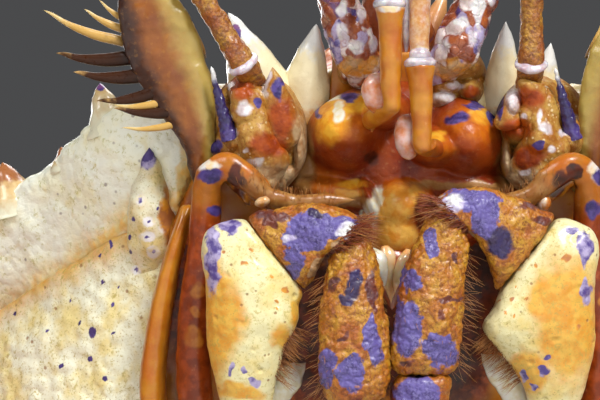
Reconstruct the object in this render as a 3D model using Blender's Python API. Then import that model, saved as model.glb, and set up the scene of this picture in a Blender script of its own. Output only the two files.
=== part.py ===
"""Puget sound king crab, life size, standing on its six walking legs with its front raised.

Units here are millimetres, turned into metres when a mesh is made. The world frame has +Z up and the crab
faces -Y, so its right side is at -X. Two more frames are used. The body frame is the carapace seen level,
with its margin at height 0. The face frame lies over the mouthparts: across (+X), up the face, and out of it.
"""
import math
import random

import bpy
import bmesh
from mathutils import Matrix, Vector

MM = 0.001
GAP = 0.3                      # clearance kept between neighbouring pieces

# Stance
BODY_PITCH = math.radians(20)  # how far the front of the body is raised
FACE_TILT = math.radians(22)   # how far the face looks down, in the world
BODY_HEIGHT = 88.0             # carapace margin above the floor, at the body's centre
BODY_Y = 35.8                  # puts the middle of the whole crab's length at y = 0

# Carapace
CARAPACE_OUTLINE = [           # right half seen from above, from the rostrum back: across, along
    (0, -80), (12, -79), (26, -78), (38, -75.5), (44, -70.5), (52, -61.5), (61, -53), (75, -32),
    (87, -8), (95, 16), (98, 36), (93, 56), (78, 72), (52, 81), (24, 84), (0, 85),
]
OUTLINE_STEPS = 60             # points round the carapace's margin
DOME_HEIGHT = 26.0
BOSSES = [                     # the raised regions: across, along, height, width, length
    (0, -36, 33, 25, 23), (0, 24, 21, 17, 16), (50, 16, 29, 25, 27), (-50, 16, 29, 25, 27),
    (0, 60, 8, 26, 12),
]
ROSTRUM_RISE = 7.0             # the margin arches this high over the eyes
WALL_DEPTH = 12.0              # margin down to the seam over the cheek plates
WALL_INSET = 10.5
CHEEK_DEPTH = 33.0
NECK_HALF_WIDTH = 24.0
NECK_DEPTH = 22.0

# Breast plate and abdomen
THORAX_DEPTH = 42.0
THORAX_HALF = [(22, -50), (38, -24), (40, 2), (38, 28), (27, 52), (20, 58)]

# Face plate behind the mouthparts, in the face frame
FACE_ORIGIN = (0.0, -78.4, -20.5)   # in the body frame
PLATE_FRONT = -13.0
PLATE_BACK = -18.3
PLATE_HALF = [                 # up the face, half width there
    (-38, 26), (-30, 32.5), (-17, 33), (-4, 31), (4, 27.6), (10.4, 23.6), (12.6, 8.8), (20.6, 8.6),
]
RIM_WIDTH = 2.4                # the raised rim along each side of the face plate
RIM_FRONT = -6.6

COLOURS = {                    # colour, roughness
    "shell": ((0.62, 0.22, 0.10), 0.5),
    "cream": ((0.80, 0.74, 0.50), 0.45),
    "orange": ((0.72, 0.30, 0.05), 0.4),
    "violet": ((0.25, 0.18, 0.45), 0.45),
    "eye": ((0.02, 0.015, 0.02), 0.1),
}


def body(x, y, z):
    """World place of a point in the level body frame."""
    c, s = math.cos(BODY_PITCH), math.sin(BODY_PITCH)
    return Vector((x, BODY_Y + y * c + z * s, BODY_HEIGHT - y * s + z * c))


def body_way(x, y, z):
    return (body(x, y, z) - body(0, 0, 0)).normalized()


FACE_CENTRE = body(*FACE_ORIGIN)
FACE_X = Vector((1, 0, 0))
FACE_UP = Vector((0, -math.sin(FACE_TILT), math.cos(FACE_TILT)))
FACE_OUT = Vector((0, -math.cos(FACE_TILT), -math.sin(FACE_TILT)))


def face(x, up, out):
    """World place of a point in the face frame."""
    return FACE_CENTRE + x * FACE_X + up * FACE_UP + out * FACE_OUT


def face_way(x, up, out):
    return (x * FACE_X + up * FACE_UP + out * FACE_OUT).normalized()


def material(kind):
    found = bpy.data.materials.get(kind)
    if found:
        return found
    made = bpy.data.materials.new(kind)
    made.use_nodes = True
    shader = made.node_tree.nodes["Principled BSDF"]
    colour, roughness = COLOURS[kind]
    shader.inputs["Base Color"].default_value = (*colour, 1)
    shader.inputs["Roughness"].default_value = roughness
    shader.inputs["Metallic"].default_value = 0
    made.diffuse_color = (*colour, 1)
    return made


def add_object(name, bm, kind):
    """A finished mesh as an object, its faces pointing out and its size in metres."""
    bmesh.ops.recalc_face_normals(bm, faces=bm.faces)
    bmesh.ops.scale(bm, vec=(MM, MM, MM), verts=bm.verts)
    mesh = bpy.data.meshes.new(name)
    bm.to_mesh(mesh)
    bm.free()
    mesh.materials.append(material(kind))
    mesh.shade_smooth()
    mesh.set_sharp_from_angle(angle=math.radians(50))
    made = bpy.data.objects.new(name, mesh)
    bpy.context.scene.collection.objects.link(made)
    return made


def loft(name, rings, kind):
    """A closed skin over rings of points, capped at both ends. A ring of one point is a tip."""
    bm = bmesh.new()
    loops = [[bm.verts.new(p) for p in ring] for ring in rings]
    for low, high in zip(loops, loops[1:]):
        count = max(len(low), len(high))
        for i in range(count):
            j = (i + 1) % count
            if len(high) == 1:
                bm.faces.new((low[i], low[j], high[0]))
            elif len(low) == 1:
                bm.faces.new((low[0], high[j], high[i]))
            else:
                bm.faces.new((low[i], low[j], high[j], high[i]))
    for end in (loops[0], loops[-1]):
        if len(end) > 2:
            bm.faces.new(end)
    return add_object(name, bm, kind)


def ring(centre, normal, side, a, b, sides):
    """An ellipse of points across normal, a wide along side and b the other way."""
    normal = normal.normalized()
    side = (side - side.dot(normal) * normal).normalized()
    other = normal.cross(side)
    turn = [2 * math.pi * (i + 0.5) / sides for i in range(sides)]
    return [centre + side * a * math.cos(t) + other * b * math.sin(t) for t in turn]


def limb(name, stations, kind, side, sides=8, tip=False, trim=(True, True), turning=False):
    """A tapering piece along stations of (centre, a, b[, normal]), where a is the half width along side.

    An end that is trimmed is drawn back by half the gap, so that two pieces can share a joint. With turning,
    side is carried round the piece's bends.
    """
    centres = [Vector(s[0]) for s in stations]
    side = Vector(side)
    rings = []
    last = None
    for i, station in enumerate(stations):
        before, after = centres[max(i - 1, 0)], centres[min(i + 1, len(centres) - 1)]
        normal = Vector(station[3] if len(station) > 3 else (after - before)).normalized()
        if turning and last is not None:
            side = last.rotation_difference(normal) @ side
        last = normal
        centre = centres[i].copy()
        if i == 0 and trim[0]:
            centre += normal * GAP / 2
        if i == len(stations) - 1 and trim[1] and not tip:
            centre -= normal * GAP / 2
        if i == len(stations) - 1 and tip:
            rings.append([centre])
        else:
            rings.append(ring(centre, normal, side, station[1], station[2], sides))
    return loft(name, rings, kind)


def spine(base, way, length, radius, sunk=2.0, sides=5):
    """One cone with its root sunk into the piece that it grows from."""
    way = Vector(way).normalized()
    side = way.orthogonal()
    foot = ring(base - way * sunk, way, side, radius, radius, sides)
    return loft("spine", [foot, [base + way * length]], "shell")


def blunt_spine(base, way, length, radius, sunk=2.0, sides=6, waist=0.72):
    """A stouter cone with a swollen side and a blunt point."""
    way = Vector(way).normalized()
    side = way.orthogonal()
    rings = [
        ring(base - way * sunk, way, side, radius, radius, sides),
        ring(base + way * length * 0.55, way, side, radius * waist, radius * waist, sides),
        [base + way * length],
    ]
    return loft("spine", rings, "shell")


def baked(obj):
    """The object's mesh with its modifiers worked in."""
    bpy.context.view_layer.update()
    graph = bpy.context.evaluated_depsgraph_get()
    mesh = bpy.data.meshes.new_from_object(obj.evaluated_get(graph))
    obj.modifiers.clear()
    obj.data = mesh
    return obj


def keep_largest(obj):
    """Leaves only the largest closed surface of the object."""
    bm = bmesh.new()
    bm.from_mesh(obj.data)
    left = set(bm.faces)
    groups = []
    while left:
        group, edge = set(), [left.pop()]
        while edge:
            f = edge.pop()
            group.add(f)
            for e in f.edges:
                for g in e.link_faces:
                    if g in left:
                        left.discard(g)
                        edge.append(g)
        groups.append(group)
    largest = max(groups, key=lambda g: sum(f.calc_area() for f in g))
    extra = [f for g in groups if g is not largest for f in g]
    bmesh.ops.delete(bm, geom=extra, context="FACES")
    bm.to_mesh(obj.data)
    bm.free()
    return obj


def fuse(obj, pieces):
    """One union of the pieces into obj, which are then removed."""
    if not pieces:
        return obj
    group = bpy.data.collections.new("pieces")
    bpy.context.scene.collection.children.link(group)
    for piece in pieces:
        bpy.context.scene.collection.objects.unlink(piece)
        group.objects.link(piece)
    join = obj.modifiers.new("join", "BOOLEAN")
    join.operation = "UNION"
    join.operand_type = "COLLECTION"
    join.collection = group
    join.solver = "EXACT"
    baked(obj)
    for piece in pieces:
        bpy.data.objects.remove(piece)
    bpy.data.collections.remove(group)
    return keep_largest(obj)


def cut(obj, cutter):
    """Takes the cutter's space out of obj and leaves the cutter in place."""
    take = obj.modifiers.new("cut", "BOOLEAN")
    take.operation = "DIFFERENCE"
    take.object = cutter
    take.solver = "EXACT"
    return keep_largest(baked(obj))


def catmull(points, steps):
    """Points spread evenly by index on a closed smooth curve through the given ones."""
    count = len(points)
    found = []
    for k in range(steps):
        t = k * count / steps
        i = int(t)
        u = t - i
        near = [points[(i + j) % count] for j in (-1, 0, 1, 2)]
        found.append(tuple(curve_point(u, *values) for values in zip(*near)))
    return found


def curve_point(u, a, b, c, d):
    """A value between b and c, with slopes taken from their neighbours a and d."""
    square, cube = 2 * a - 5 * b + 4 * c - d, 3 * b - a - 3 * c + d
    return 0.5 * (2 * b + (c - a) * u + square * u ** 2 + cube * u ** 3)


def carapace_outline():
    left = [(-x, y) for x, y in reversed(CARAPACE_OUTLINE[1:-1])]
    return catmull(CARAPACE_OUTLINE + left, OUTLINE_STEPS)


def margin_height(x, y):
    """The margin's own height: it arches over the eyes and droops a little along the sides."""
    front = math.exp(-((x / 9) ** 2)) if y < -40 else 0
    return ROSTRUM_RISE * front - 3 * (x / 98) ** 2


def top_height(x, y, share):
    """Height of the carapace at a point that is share of the way from its middle to its margin."""
    dome = DOME_HEIGHT * max(0.0, 1 - share ** 2.4) ** 0.75
    bosses = sum(h * math.exp(-((x - bx) / w) ** 2 - ((y - by) / l) ** 2) for bx, by, h, w, l in BOSSES)
    return dome + bosses * (1 - share ** 5) + margin_height(x, y) * share ** 3


def wall_contour(outline, depth, inset):
    """The outline drawn in by inset, square to itself, at that depth below the margin."""
    count = len(outline)
    points = []
    for i, (x, y) in enumerate(outline):
        (x0, y0), (x1, y1) = outline[i - 1], outline[(i + 1) % count]
        length = math.hypot(x1 - x0, y1 - y0)
        nx, ny = -(y1 - y0) / length, (x1 - x0) / length
        if nx * x + ny * (y + 5) > 0:
            nx, ny = -nx, -ny
        points.append((x + nx * inset, y + ny * inset, -depth))
    return points


def plate_prism(name, grow, back, front):
    """The face plate's outline, grown by some clearance, between two levels of the face frame."""
    right = [(half + grow, up) for up, half in PLATE_HALF]
    right[0] = (right[0][0], right[0][1] - grow)
    right[-1] = (right[-1][0], right[-1][1] + grow)
    loop = right + [(-x, up) for x, up in reversed(right)]
    return loft(name, [[face(x, up, out) for x, up in loop] for out in (back, front)], "orange")


def hide_cutter(obj):
    obj.hide_render = True
    obj.display_type = "WIRE"
    return obj


FRONT_SPINES = [    # across, along, length, radius, how much it leans out
    (-12.5, -78, 12, 3.6, 0.08), (-17.8, -77, 14.5, 4.0, -0.34),
    (15.2, -78, 12, 3.3, 0.0), (21, -77, 10, 3.3, 0.1),
]
MARGIN_SPINES = [   # across, along, how far it stands out, radius, how much it points up
    (29, -77, 5, 2.4, 0.2), (41, -73.5, 7, 2.6, 0.9),
    (47, -67.5, 3.5, 2.2, 0.6), (52, -61.5, 4, 2.4, 0.6), (58, -56.5, 7.5, 3.2, 0.6), (67, -44, 5, 2.8, 0.2),
    (75, -29, 7, 3.2, 0.15), (82, -17, 5, 2.8, 0.1), (88, -5, 7, 3.4, 0.15), (93, 9, 5, 3.0, 0.1),
    (96.5, 24, 7, 3.4, 0.15), (97, 42, 5, 3.0, 0.1), (91, 58, 6, 3.2, 0.15), (78, 71, 5, 3.0, 0.1),
    (60, 78, 4, 2.8, 0.1), (40, 82, 4, 2.6, 0.1), (20, 84, 4, 2.6, 0.1),
]


def make_carapace(plate_cutter):
    """The domed shell with its four bosses, rostrum, marginal spines and knobs, and the neck under it."""
    outline = carapace_outline()
    middle = (0.0, 2.0)
    rings = [[body(*p) for p in wall_contour(outline, WALL_DEPTH, WALL_INSET)]]
    rings.append([body(x, y, z + margin_height(x, y) * 0.6) for x, y, z in wall_contour(outline, 5, 3.5)])
    shares = (1.0, 0.96, 0.9, 0.82, 0.73, 0.64, 0.55, 0.46, 0.37, 0.28, 0.19, 0.1)
    for share in shares:
        level = []
        for x, y in outline:
            px, py = middle[0] + (x - middle[0]) * share, middle[1] + (y - middle[1]) * share
            level.append(body(px, py, top_height(px, py, share)))
        rings.append(level)
    rings.append([body(*middle, top_height(*middle, 0))])
    shell = loft("carapace", rings, "shell")
    neck = [(-NECK_HALF_WIDTH, -62), (NECK_HALF_WIDTH, -62), (NECK_HALF_WIDTH, 50), (-NECK_HALF_WIDTH, 50)]
    levels = [[body(x, y, z) for x, y in neck] for z in (-NECK_DEPTH, -WALL_DEPTH + 4)]
    pieces = [loft("neck", levels, "cream")]
    for x, y, length, radius, rise in MARGIN_SPINES:
        for hand in (-1, 1):
            way = body_way(hand * x / 98 * 1.1, (y - 8) / 88, rise)
            if y < -60:
                way = body_way(hand * 0.25, -0.94, rise)
            base = body(hand * x, y + 1.5, margin_height(x, y) - 1.2)
            pieces.append(blunt_spine(base, way, length, radius, sunk=3.5))
    for x, y, length, radius, lean in FRONT_SPINES:
        base = body(x, y + 1.5, margin_height(x, y) - 1.2)
        pieces.append(blunt_spine(base, body_way(lean, -0.94, 0.47), length, radius, sunk=3.5, sides=7))
    pieces += rostrum_pieces()
    pieces += knobs()
    fuse(shell, pieces)
    cut(shell, plate_cutter)
    for hand in (-1, 1):
        room = hide_cutter(cheek_lobe(hand, GAP))
        cut(shell, room)
        bpy.data.objects.remove(room)
    return shell


def rostrum_pieces():
    """A stout blunt beak over the eyes with two small teeth on top."""
    beak = limb("beak", [
        (body(0, -70, 7), 9, 6), (body(0, -80, 8), 6.5, 4.5),
        (body(0, -88, 8.5), 4, 3.4), (body(0, -96, 9), 1, 1),
    ], "shell", (1, 0, 0), sides=8, tip=True, trim=(False, False))
    teeth = [blunt_spine(body(0, -78, 11), body_way(0, -0.45, 0.9), 6, 2.4)]
    for hand in (-1, 1):
        teeth.append(blunt_spine(body(hand * 5.5, -80, 10), body_way(hand * 0.35, -0.6, 0.7), 7, 2.6))
    return [beak, *teeth]


def knobs():
    """Blunt knobs in rings over the bosses and scattered between them."""
    chance = random.Random(7)
    placed = []
    for bx, by, height, width, length in BOSSES:
        placed.append((bx, by, 6.0 if height > 15 else 4.0, 4.4))
        for count, reach, tall, radius in ((6, 0.42, 4.6, 3.5), (9, 0.85, 3.8, 3.1)):
            if height < 15 and count == 9:
                continue
            for i in range(count):
                turn = 2 * math.pi * (i + chance.uniform(-0.2, 0.2)) / count
                x, y = bx + reach * width * math.cos(turn), by + reach * length * math.sin(turn)
                placed.append((x, y, tall, radius))
    for i in range(110):
        turn, reach = i * 2.39996, math.sqrt((i + 0.5) / 110) * 0.93
        x, y = 92 * reach * math.cos(turn), 2 + 78 * reach * math.sin(turn)
        placed.append((x, y, chance.uniform(2.2, 3.6), chance.uniform(2.3, 3.0)))
    outline = carapace_outline()
    kept = []
    for x, y, tall, radius in placed:
        share = outline_share(outline, x, y)
        crowded = any(math.hypot(x - kx, y - ky) < radius + kr + 1.6 for kx, ky, _, kr, _ in kept)
        if share > 0.93 or crowded or (abs(x) < 12 and y < -68):
            continue
        kept.append((x, y, tall, radius, share))
    pieces = []
    for x, y, tall, radius, share in kept:
        here = top_height(x, y, share)
        slope = [(top_height(x + dx, y + dy, share) - here) for dx, dy in ((1, 0), (0, 1))]
        out = 0.9 * share ** 3
        way = body_way(-slope[0] + out * x / 98, -slope[1] + out * y / 85, 1)
        pieces.append(blunt_spine(body(x, y, here), way, tall, radius, sunk=2.4, sides=5))
    return pieces


def outline_share(outline, x, y):
    """How far a point is from the carapace's middle, as a share of the way to the margin."""
    turn = math.atan2(y - 2, x)
    nearest = min(outline, key=lambda p: abs(math.remainder(math.atan2(p[1] - 2, p[0]) - turn, 2 * math.pi)))
    return math.hypot(x, y - 2) / math.hypot(nearest[0], nearest[1] - 2)


def cheek_lobe(hand, grow):
    """The cheek's forward lobe, which stands up in front of the carapace wall, grown by some clearance."""
    base, way = face(hand * 33.9, -8.5, -17.4), face_way(0, 1, 0.3)
    side = FACE_X
    rings = [
        ring(base - way * (3 + grow), way, side, 3.2 + grow, 3.2 + grow, 8),
        ring(base + way * 6, way, side, 3.3 + grow, 3.1 + grow, 8),
        ring(base + way * 11, way, side, 2.5 + grow, 2.4 + grow, 8),
        [base + way * (16.5 + 3 * grow)],
    ]
    return loft("lobe", rings, "cream")


def make_cheek(name, hand, plate_cutter):
    """The plate below the seam beside the mouth, with its forward lobe."""
    levels = [
        (-WALL_DEPTH - GAP,
         [(24.4, -66.5), (30, -66), (36, -63.5), (42, -59.5), (51, -52), (61, -42), (70, -30)],
         [(58, -31), (38, -45), (24.4, -45)]),
        (-19,
         [(24.4, -60), (30, -59.5), (36, -57.5), (42, -54.5), (50, -48.5), (58, -41.5), (66, -32.5)],
         [(55, -33.5), (38, -45), (24.4, -46)]),
        (-26,
         [(24.4, -54), (30, -53.5), (35, -52.3), (41, -49.8), (48, -45.5), (55, -40.5), (61, -35)],
         [(53, -35.5), (38, -45.4), (24.4, -47)]),
        (-CHEEK_DEPTH,
         [(24.4, -50.5), (29, -50.5), (32, -50), (35, -49.3), (38, -48.2), (41, -46.8), (43, -45.4)],
         [(40.5, -45), (36, -46.8), (24.4, -48)]),
    ]
    rings = [[body(hand * x, y, z) for x, y in outer + inner] for z, outer, inner in levels]
    cheek = loft(name, rings, "cream")
    fuse(cheek, [cheek_lobe(hand, 0)])
    return cut(cheek, plate_cutter)


def thorax_loop():
    return THORAX_HALF + [(-x, y) for x, y in reversed(THORAX_HALF)]


def make_thorax(plate_cutter):
    """The breast plate: its flat side facets carry the legs."""
    rings = [[body(x, y, z) for x, y in thorax_loop()] for z in (-THORAX_DEPTH, -NECK_DEPTH - GAP)]
    return cut(loft("thorax", rings, "cream"), plate_cutter)


ABDOMEN_PATH = [   # along, height, half width, half thickness, and the way the section faces
    (58, -32, 20, 8.0, (1, 0)), (66, -32.5, 24, 6.4, (1, -0.1)), (73, -35.5, 28, 5.2, (0.8, -0.6)),
    (76.5, -41, 31, 4.6, (0.1, -1)), (72.5, -46.5, 32, 4.3, (-0.8, -0.6)), (62, -49, 33, 4.2, (-1, -0.1)),
    (40, -49.5, 32, 4.2, (-1, 0)), (12, -49.5, 27, 4.0, (-1, 0)), (-12, -49, 19, 3.6, (-1, 0)),
    (-30, -48, 10, 3.0, (-1, 0.05)), (-38, -47.5, 4, 2.2, (-1, 0.05)),
]


def make_abdomen():
    """The tail, folded forward under the breast plate, with a knob or two on each segment."""
    stations = []
    for y, z, half, thick, (ny, nz) in ABDOMEN_PATH:
        stations.append((body(0, y, z), half, thick, body_way(0, ny, nz)))
    tail = limb("abdomen", stations, "cream", (1, 0, 0), sides=14, trim=(False, False))
    tail.location = body_way(0, 1, 0) * GAP * MM
    pieces = []
    for y, half in ((55, 31), (40, 30), (25, 28), (10, 25), (-5, 20), (-18, 14)):
        for x in (-0.7, -0.25, 0.25, 0.7):
            base = body(x * half, y + 0.3, -49.5 - 3.8 * math.sqrt(1 - x * x))
            pieces.append(spine(base, body_way(x * 0.4, 0, -1), 2.4, 3.0, sunk=1.6))
    return fuse(tail, pieces)


def make_face_plate():
    """The plate behind the mouthparts, with a raised rim down each side of the mouth."""
    plate = plate_prism("face_plate", 0, PLATE_BACK, PLATE_FRONT)
    rims = []
    for hand in (-1, 1):
        rings = []
        for half, up, front in ((30.4, -34.4, -9), (32.2, -28, RIM_FRONT), (32.6, -17, RIM_FRONT),
                                (30.6, -4.6, RIM_FRONT), (29.4, -0.6, -8)):
            inner = half - RIM_WIDTH
            corners = ((half, PLATE_FRONT - 1), (half, front), (inner, front), (inner, PLATE_FRONT - 1))
            rings.append([face(hand * x, up, out) for x, out in corners])
        rims.append(loft("rim", rings, "orange"))
    return fuse(plate, rims)


def make_mouth():
    """Upper lip and jaws: a smooth swelling between the outer mouthparts."""
    stations = [
        (face(0.6, -5.4, PLATE_FRONT + GAP), 6.2, 8.2, FACE_OUT),
        (face(0.6, -5.4, -9), 5.8, 7.8, FACE_OUT),
        (face(0.6, -5.2, -6.2), 4.4, 6.4, FACE_OUT),
        (face(0.6, -5.0, -4.6), 1.8, 3.4, FACE_OUT),
    ]
    return limb("mouth", stations, "cream", FACE_X, sides=12, trim=(False, False))


EYES = {   # foot on the face plate, then the bend and top of the stalk
    "right": ((-4.4, 17.6), (-5.4, 20.0, -9.6), (-9.4, 31.5, -8.0)),
    "left": ((5.8, 17.6), (8.2, 20.4, -8.4), (12.6, 31.2, -9.4)),
}


def make_eye(side_name):
    """An eyestalk rising from the face plate, and the dark eye on its end."""
    foot, bend, top = EYES[side_name]
    way = (Vector(top) - Vector(bend)).normalized()
    stalk = [
        (face(foot[0], foot[1], PLATE_FRONT + GAP), 2.3, 2.2, FACE_OUT),
        (face(foot[0], foot[1], -11.2), 2.5, 2.3, face_way(0, 0.4, 0.9)),
        (face(*bend), 3.2, 3.0, face_way(*way)),
        (face(*(Vector(bend) + (Vector(top) - Vector(bend)) * 0.6)), 2.8, 2.7, face_way(*way)),
        (face(*top), 3.1, 3.0, face_way(*way)),
    ]
    limb(f"eyestalk_{side_name}", stalk, "violet", FACE_X, sides=10, trim=(False, False))
    centre = [Vector(top) + way * k for k in (GAP, 1.6, 3.4, 4.6)]
    ball = [(face(*c), r, r, face_way(*way)) for c, r in zip(centre, (3.2, 3.4, 2.4, 0))]
    limb(f"eye_{side_name}", ball, "eye", FACE_X, sides=10, tip=True, trim=(False, False))


ANTENNULES = {   # centre of the root and its neck, then the stem's foot, knee and top, and the whip's end
    "right": ((-6.3, 9.4), (-4.1, 10.4),
              (-1.7, 12.0, 0.9), (-1.6, 25.2, 1.2), (-1.6, 36, 0.6), (-3.0, 50, -4)),
    "left": ((9.2, 8.2), (5.8, 6.8),
             (2.6, 6.8, 0.9), (2.5, 17.8, 1.4), (2.6, 31, 1.0), (4.4, 46, -4)),
}


def make_antennule(side_name):
    """The swollen root, which narrows to its neck, and the long jointed stem with its short whip."""
    centre, neck, foot, knee, top, flick = ANTENNULES[side_name]
    between = [centre[i] + (neck[i] - centre[i]) * 0.4 for i in (0, 1)]
    root = [
        (face(*centre, PLATE_FRONT + GAP), 5.4, 5.4, FACE_OUT),
        (face(*centre, -8.8), 5.3, 5.3, FACE_OUT),
        (face(*centre, -6.4), 5.1, 5.1, FACE_OUT),
        (face(*between, -4.5), 3.7, 3.7, FACE_OUT),
        (face(*neck, -3.4), 2.1, 2.1, FACE_OUT),
    ]
    limb(f"antennule_root_{side_name}", root, "orange", FACE_X, sides=12, trim=(False, False))
    way = (Vector(knee) - Vector(foot)).normalized()
    bend = [(neck[i] + foot[i]) / 2 for i in (0, 1)]
    stem = [
        (face(*neck, -3.4 + GAP), 1.6, 1.6, FACE_OUT),
        (face(*bend, -1.4), 1.6, 1.6, face_way(foot[0] - neck[0], foot[1] - neck[1] + 0.6, 1.8)),
        (face(*foot), 1.8, 1.7, face_way(0, 1, 0.5)),
        (face(*(Vector(foot) + way * 3)), 1.6, 1.5, face_way(*way)),
        (face(*(Vector(knee) - way * 2.4)), 1.6, 1.5, face_way(*way)),
        (face(*knee), 2.0, 1.9, face_way(*way)),
        (face(*(Vector(knee) + way * 1.4)), 1.3, 1.2, face_way(*way)),
        (face(*top), 1.7, 1.6),
        (face(*(Vector(top) + Vector((0, 1.5, 0.3)))), 1.5, 1.4),
        (face(*flick), 0.35, 0.35),
    ]
    limb(f"antennule_{side_name}", stem, "orange", FACE_X, sides=8, trim=(False, False))


ANTENNAS = {   # bend, top of the stem, whip, cone's root and height, root's place and half width
    "right": ((-20.4, 17.0, -4.8), (-27.6, 29.6, -3.4),
              [(-33, 38, -3), (-44, 52, -8), (-59, 72, -20), (-74, 88, -38)],
              (-15.6, 9.8, -4.4), 8.0, -18.4, 5.2),
    "left": ((17.8, 17.0, -4.6), (17.6, 30.4, -2.6),
             [(20, 40, -3), (27, 56, -8), (41, 76, -20), (56, 92, -38)],
             (16.8, 10.2, -5.0), 4.0, 19.5, 4.6),
}


def make_antenna(side_name, hand):
    """The knobbed root with its two side spines, the stem and the long whip, and the spiny scale."""
    bend, top, whip, cone, tall, cx, wide = ANTENNAS[side_name]
    root = [
        (face(cx, 5.0, PLATE_FRONT + GAP), wide * 0.86, 4.2, FACE_OUT),
        (face(cx, 5.0, -9.5), wide, 4.6, FACE_OUT),
        (face(cx, 5.6, -6.3), wide * 0.96, 4.4, face_way(0, 0.35, 0.94)),
        (face(cx + hand * 0.2, 8.4, -5.1), wide * 0.82, 3.6, face_way(hand * 0.06, 0.85, 0.5)),
        (face((cx + bend[0]) / 2, 12.0, -5.2), wide * 0.72, 3.1, face_way(hand * 0.1, 1, 0)),
        (face(bend[0], bend[1] - 1.6, bend[2]), 2.4, 2.3, face_way(hand * 0.1, 1, 0)),
    ]
    base = limb(f"antenna_root_{side_name}", root, "orange", FACE_X, sides=10, trim=(False, False))
    spikes = [
        blunt_spine(face(hand * 22.6, 8.6, -4.4), face_way(hand * 0.17, 1, 0.2), 8.6, 1.7, 2.6, waist=0.8),
        blunt_spine(face(*cone), face_way(hand * 0.1, 1, 0.3), tall, 1.6 + tall * 0.17, 2.4, waist=0.62),
    ]
    fuse(base, spikes)
    way = (Vector(top) - Vector(bend)).normalized()
    stem = [
        (face(bend[0], bend[1] - 1.6 + GAP, bend[2]), 1.8, 1.8, face_way(hand * 0.1, 1, 0)),
        (face(*(Vector(bend) + way * 1.1)), 2.1, 2.0, face_way(*way)),
        (face(*(Vector(bend) + way * 2.6)), 1.6, 1.6, face_way(*way)),
        (face(*top), 1.9, 1.8, face_way(*way)),
    ]
    radii = (1.3, 0.95, 0.65, 0.35)
    stem += [(face(*p), r, r) for p, r in zip(whip, radii)]
    limb(f"antenna_{side_name}", stem, "orange", FACE_X, sides=7, trim=(False, False))
    make_scale(side_name, hand)


SCALE_SPINES = [   # root and tip, across and up the face, and radius
    (28.6, 10.5, 36.9, 9.6, 0.70), (28.3, 12.0, 38.0, 12.3, 0.85), (30.3, 13.4, 38.0, 12.6, 0.77),
    (31.0, 14.9, 40.3, 13.2, 0.90), (33.0, 16.8, 43.3, 17.1, 1.00), (35.0, 19.1, 45.6, 19.7, 1.00),
    (36.2, 21.1, 47.4, 25.4, 0.90), (36.1, 22.7, 41.9, 25.5, 0.75), (36.1, 23.9, 39.9, 26.7, 0.60),
    (34.6, 23.7, 37.6, 28.6, 1.00), (33.6, 23.9, 35.6, 28.1, 0.75), (31.8, 23.2, 34.3, 27.8, 0.75),
    (29.0, 21.0, 30.0, 24.1, 0.77), (26.3, 20.2, 27.6, 24.1, 0.75),
]


def make_scale(side_name, hand):
    """The leaf-shaped scale beside the antenna, fringed with long spines."""
    lean = face_way(hand * 0.38, 1, 0)
    leaf = [
        (face(hand * 25.9, 2.4, PLATE_FRONT + GAP), 1.5, 1.5, FACE_OUT),
        (face(hand * 26.0, 3.2, -10.0), 1.7, 1.6, face_way(0.0, 0.4, 0.9)),
        (face(hand * 26.8, 8.4, -7.2), 2.5, 1.5, face_way(hand * 0.25, 1, 0.2)),
        (face(hand * 28.9, 14.6, -6.4), 4.2, 1.4, lean),
        (face(hand * 31.2, 20.0, -5.8), 5.0, 1.4, lean),
        (face(hand * 33.0, 25.0, -5.2), 4.3, 1.3, lean),
        (face(hand * 34.8, 30.0, -5.0), 2.4, 1.1, lean),
        (face(hand * 35.8, 33.6, -5.0), 0, 0, lean),
    ]
    name = f"antenna_scale_{side_name}"
    scale = limb(name, leaf, "orange", FACE_X, sides=10, tip=True, trim=(False, False))
    spikes = []
    for x, up, tip_x, tip_up, radius in SCALE_SPINES:
        root, tip = Vector((hand * x, up, -6.2)), Vector((hand * tip_x, tip_up, -5.4))
        way = (tip - root).normalized()
        spikes.append(spine(face(*root), face_way(*way), (tip - root).length, radius, sunk=1.6))
    return fuse(scale, spikes)


MERUS_JOINT = ((-16.3, -6.9, 1.2), (0.787, 0.617, 0.0))    # between merus and carpus, on the crab's right
PALP_JOINT = ((-6.9, -5.3, 3.4), (0.55, -0.83, 0.0))       # between carpus and propodus


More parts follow.
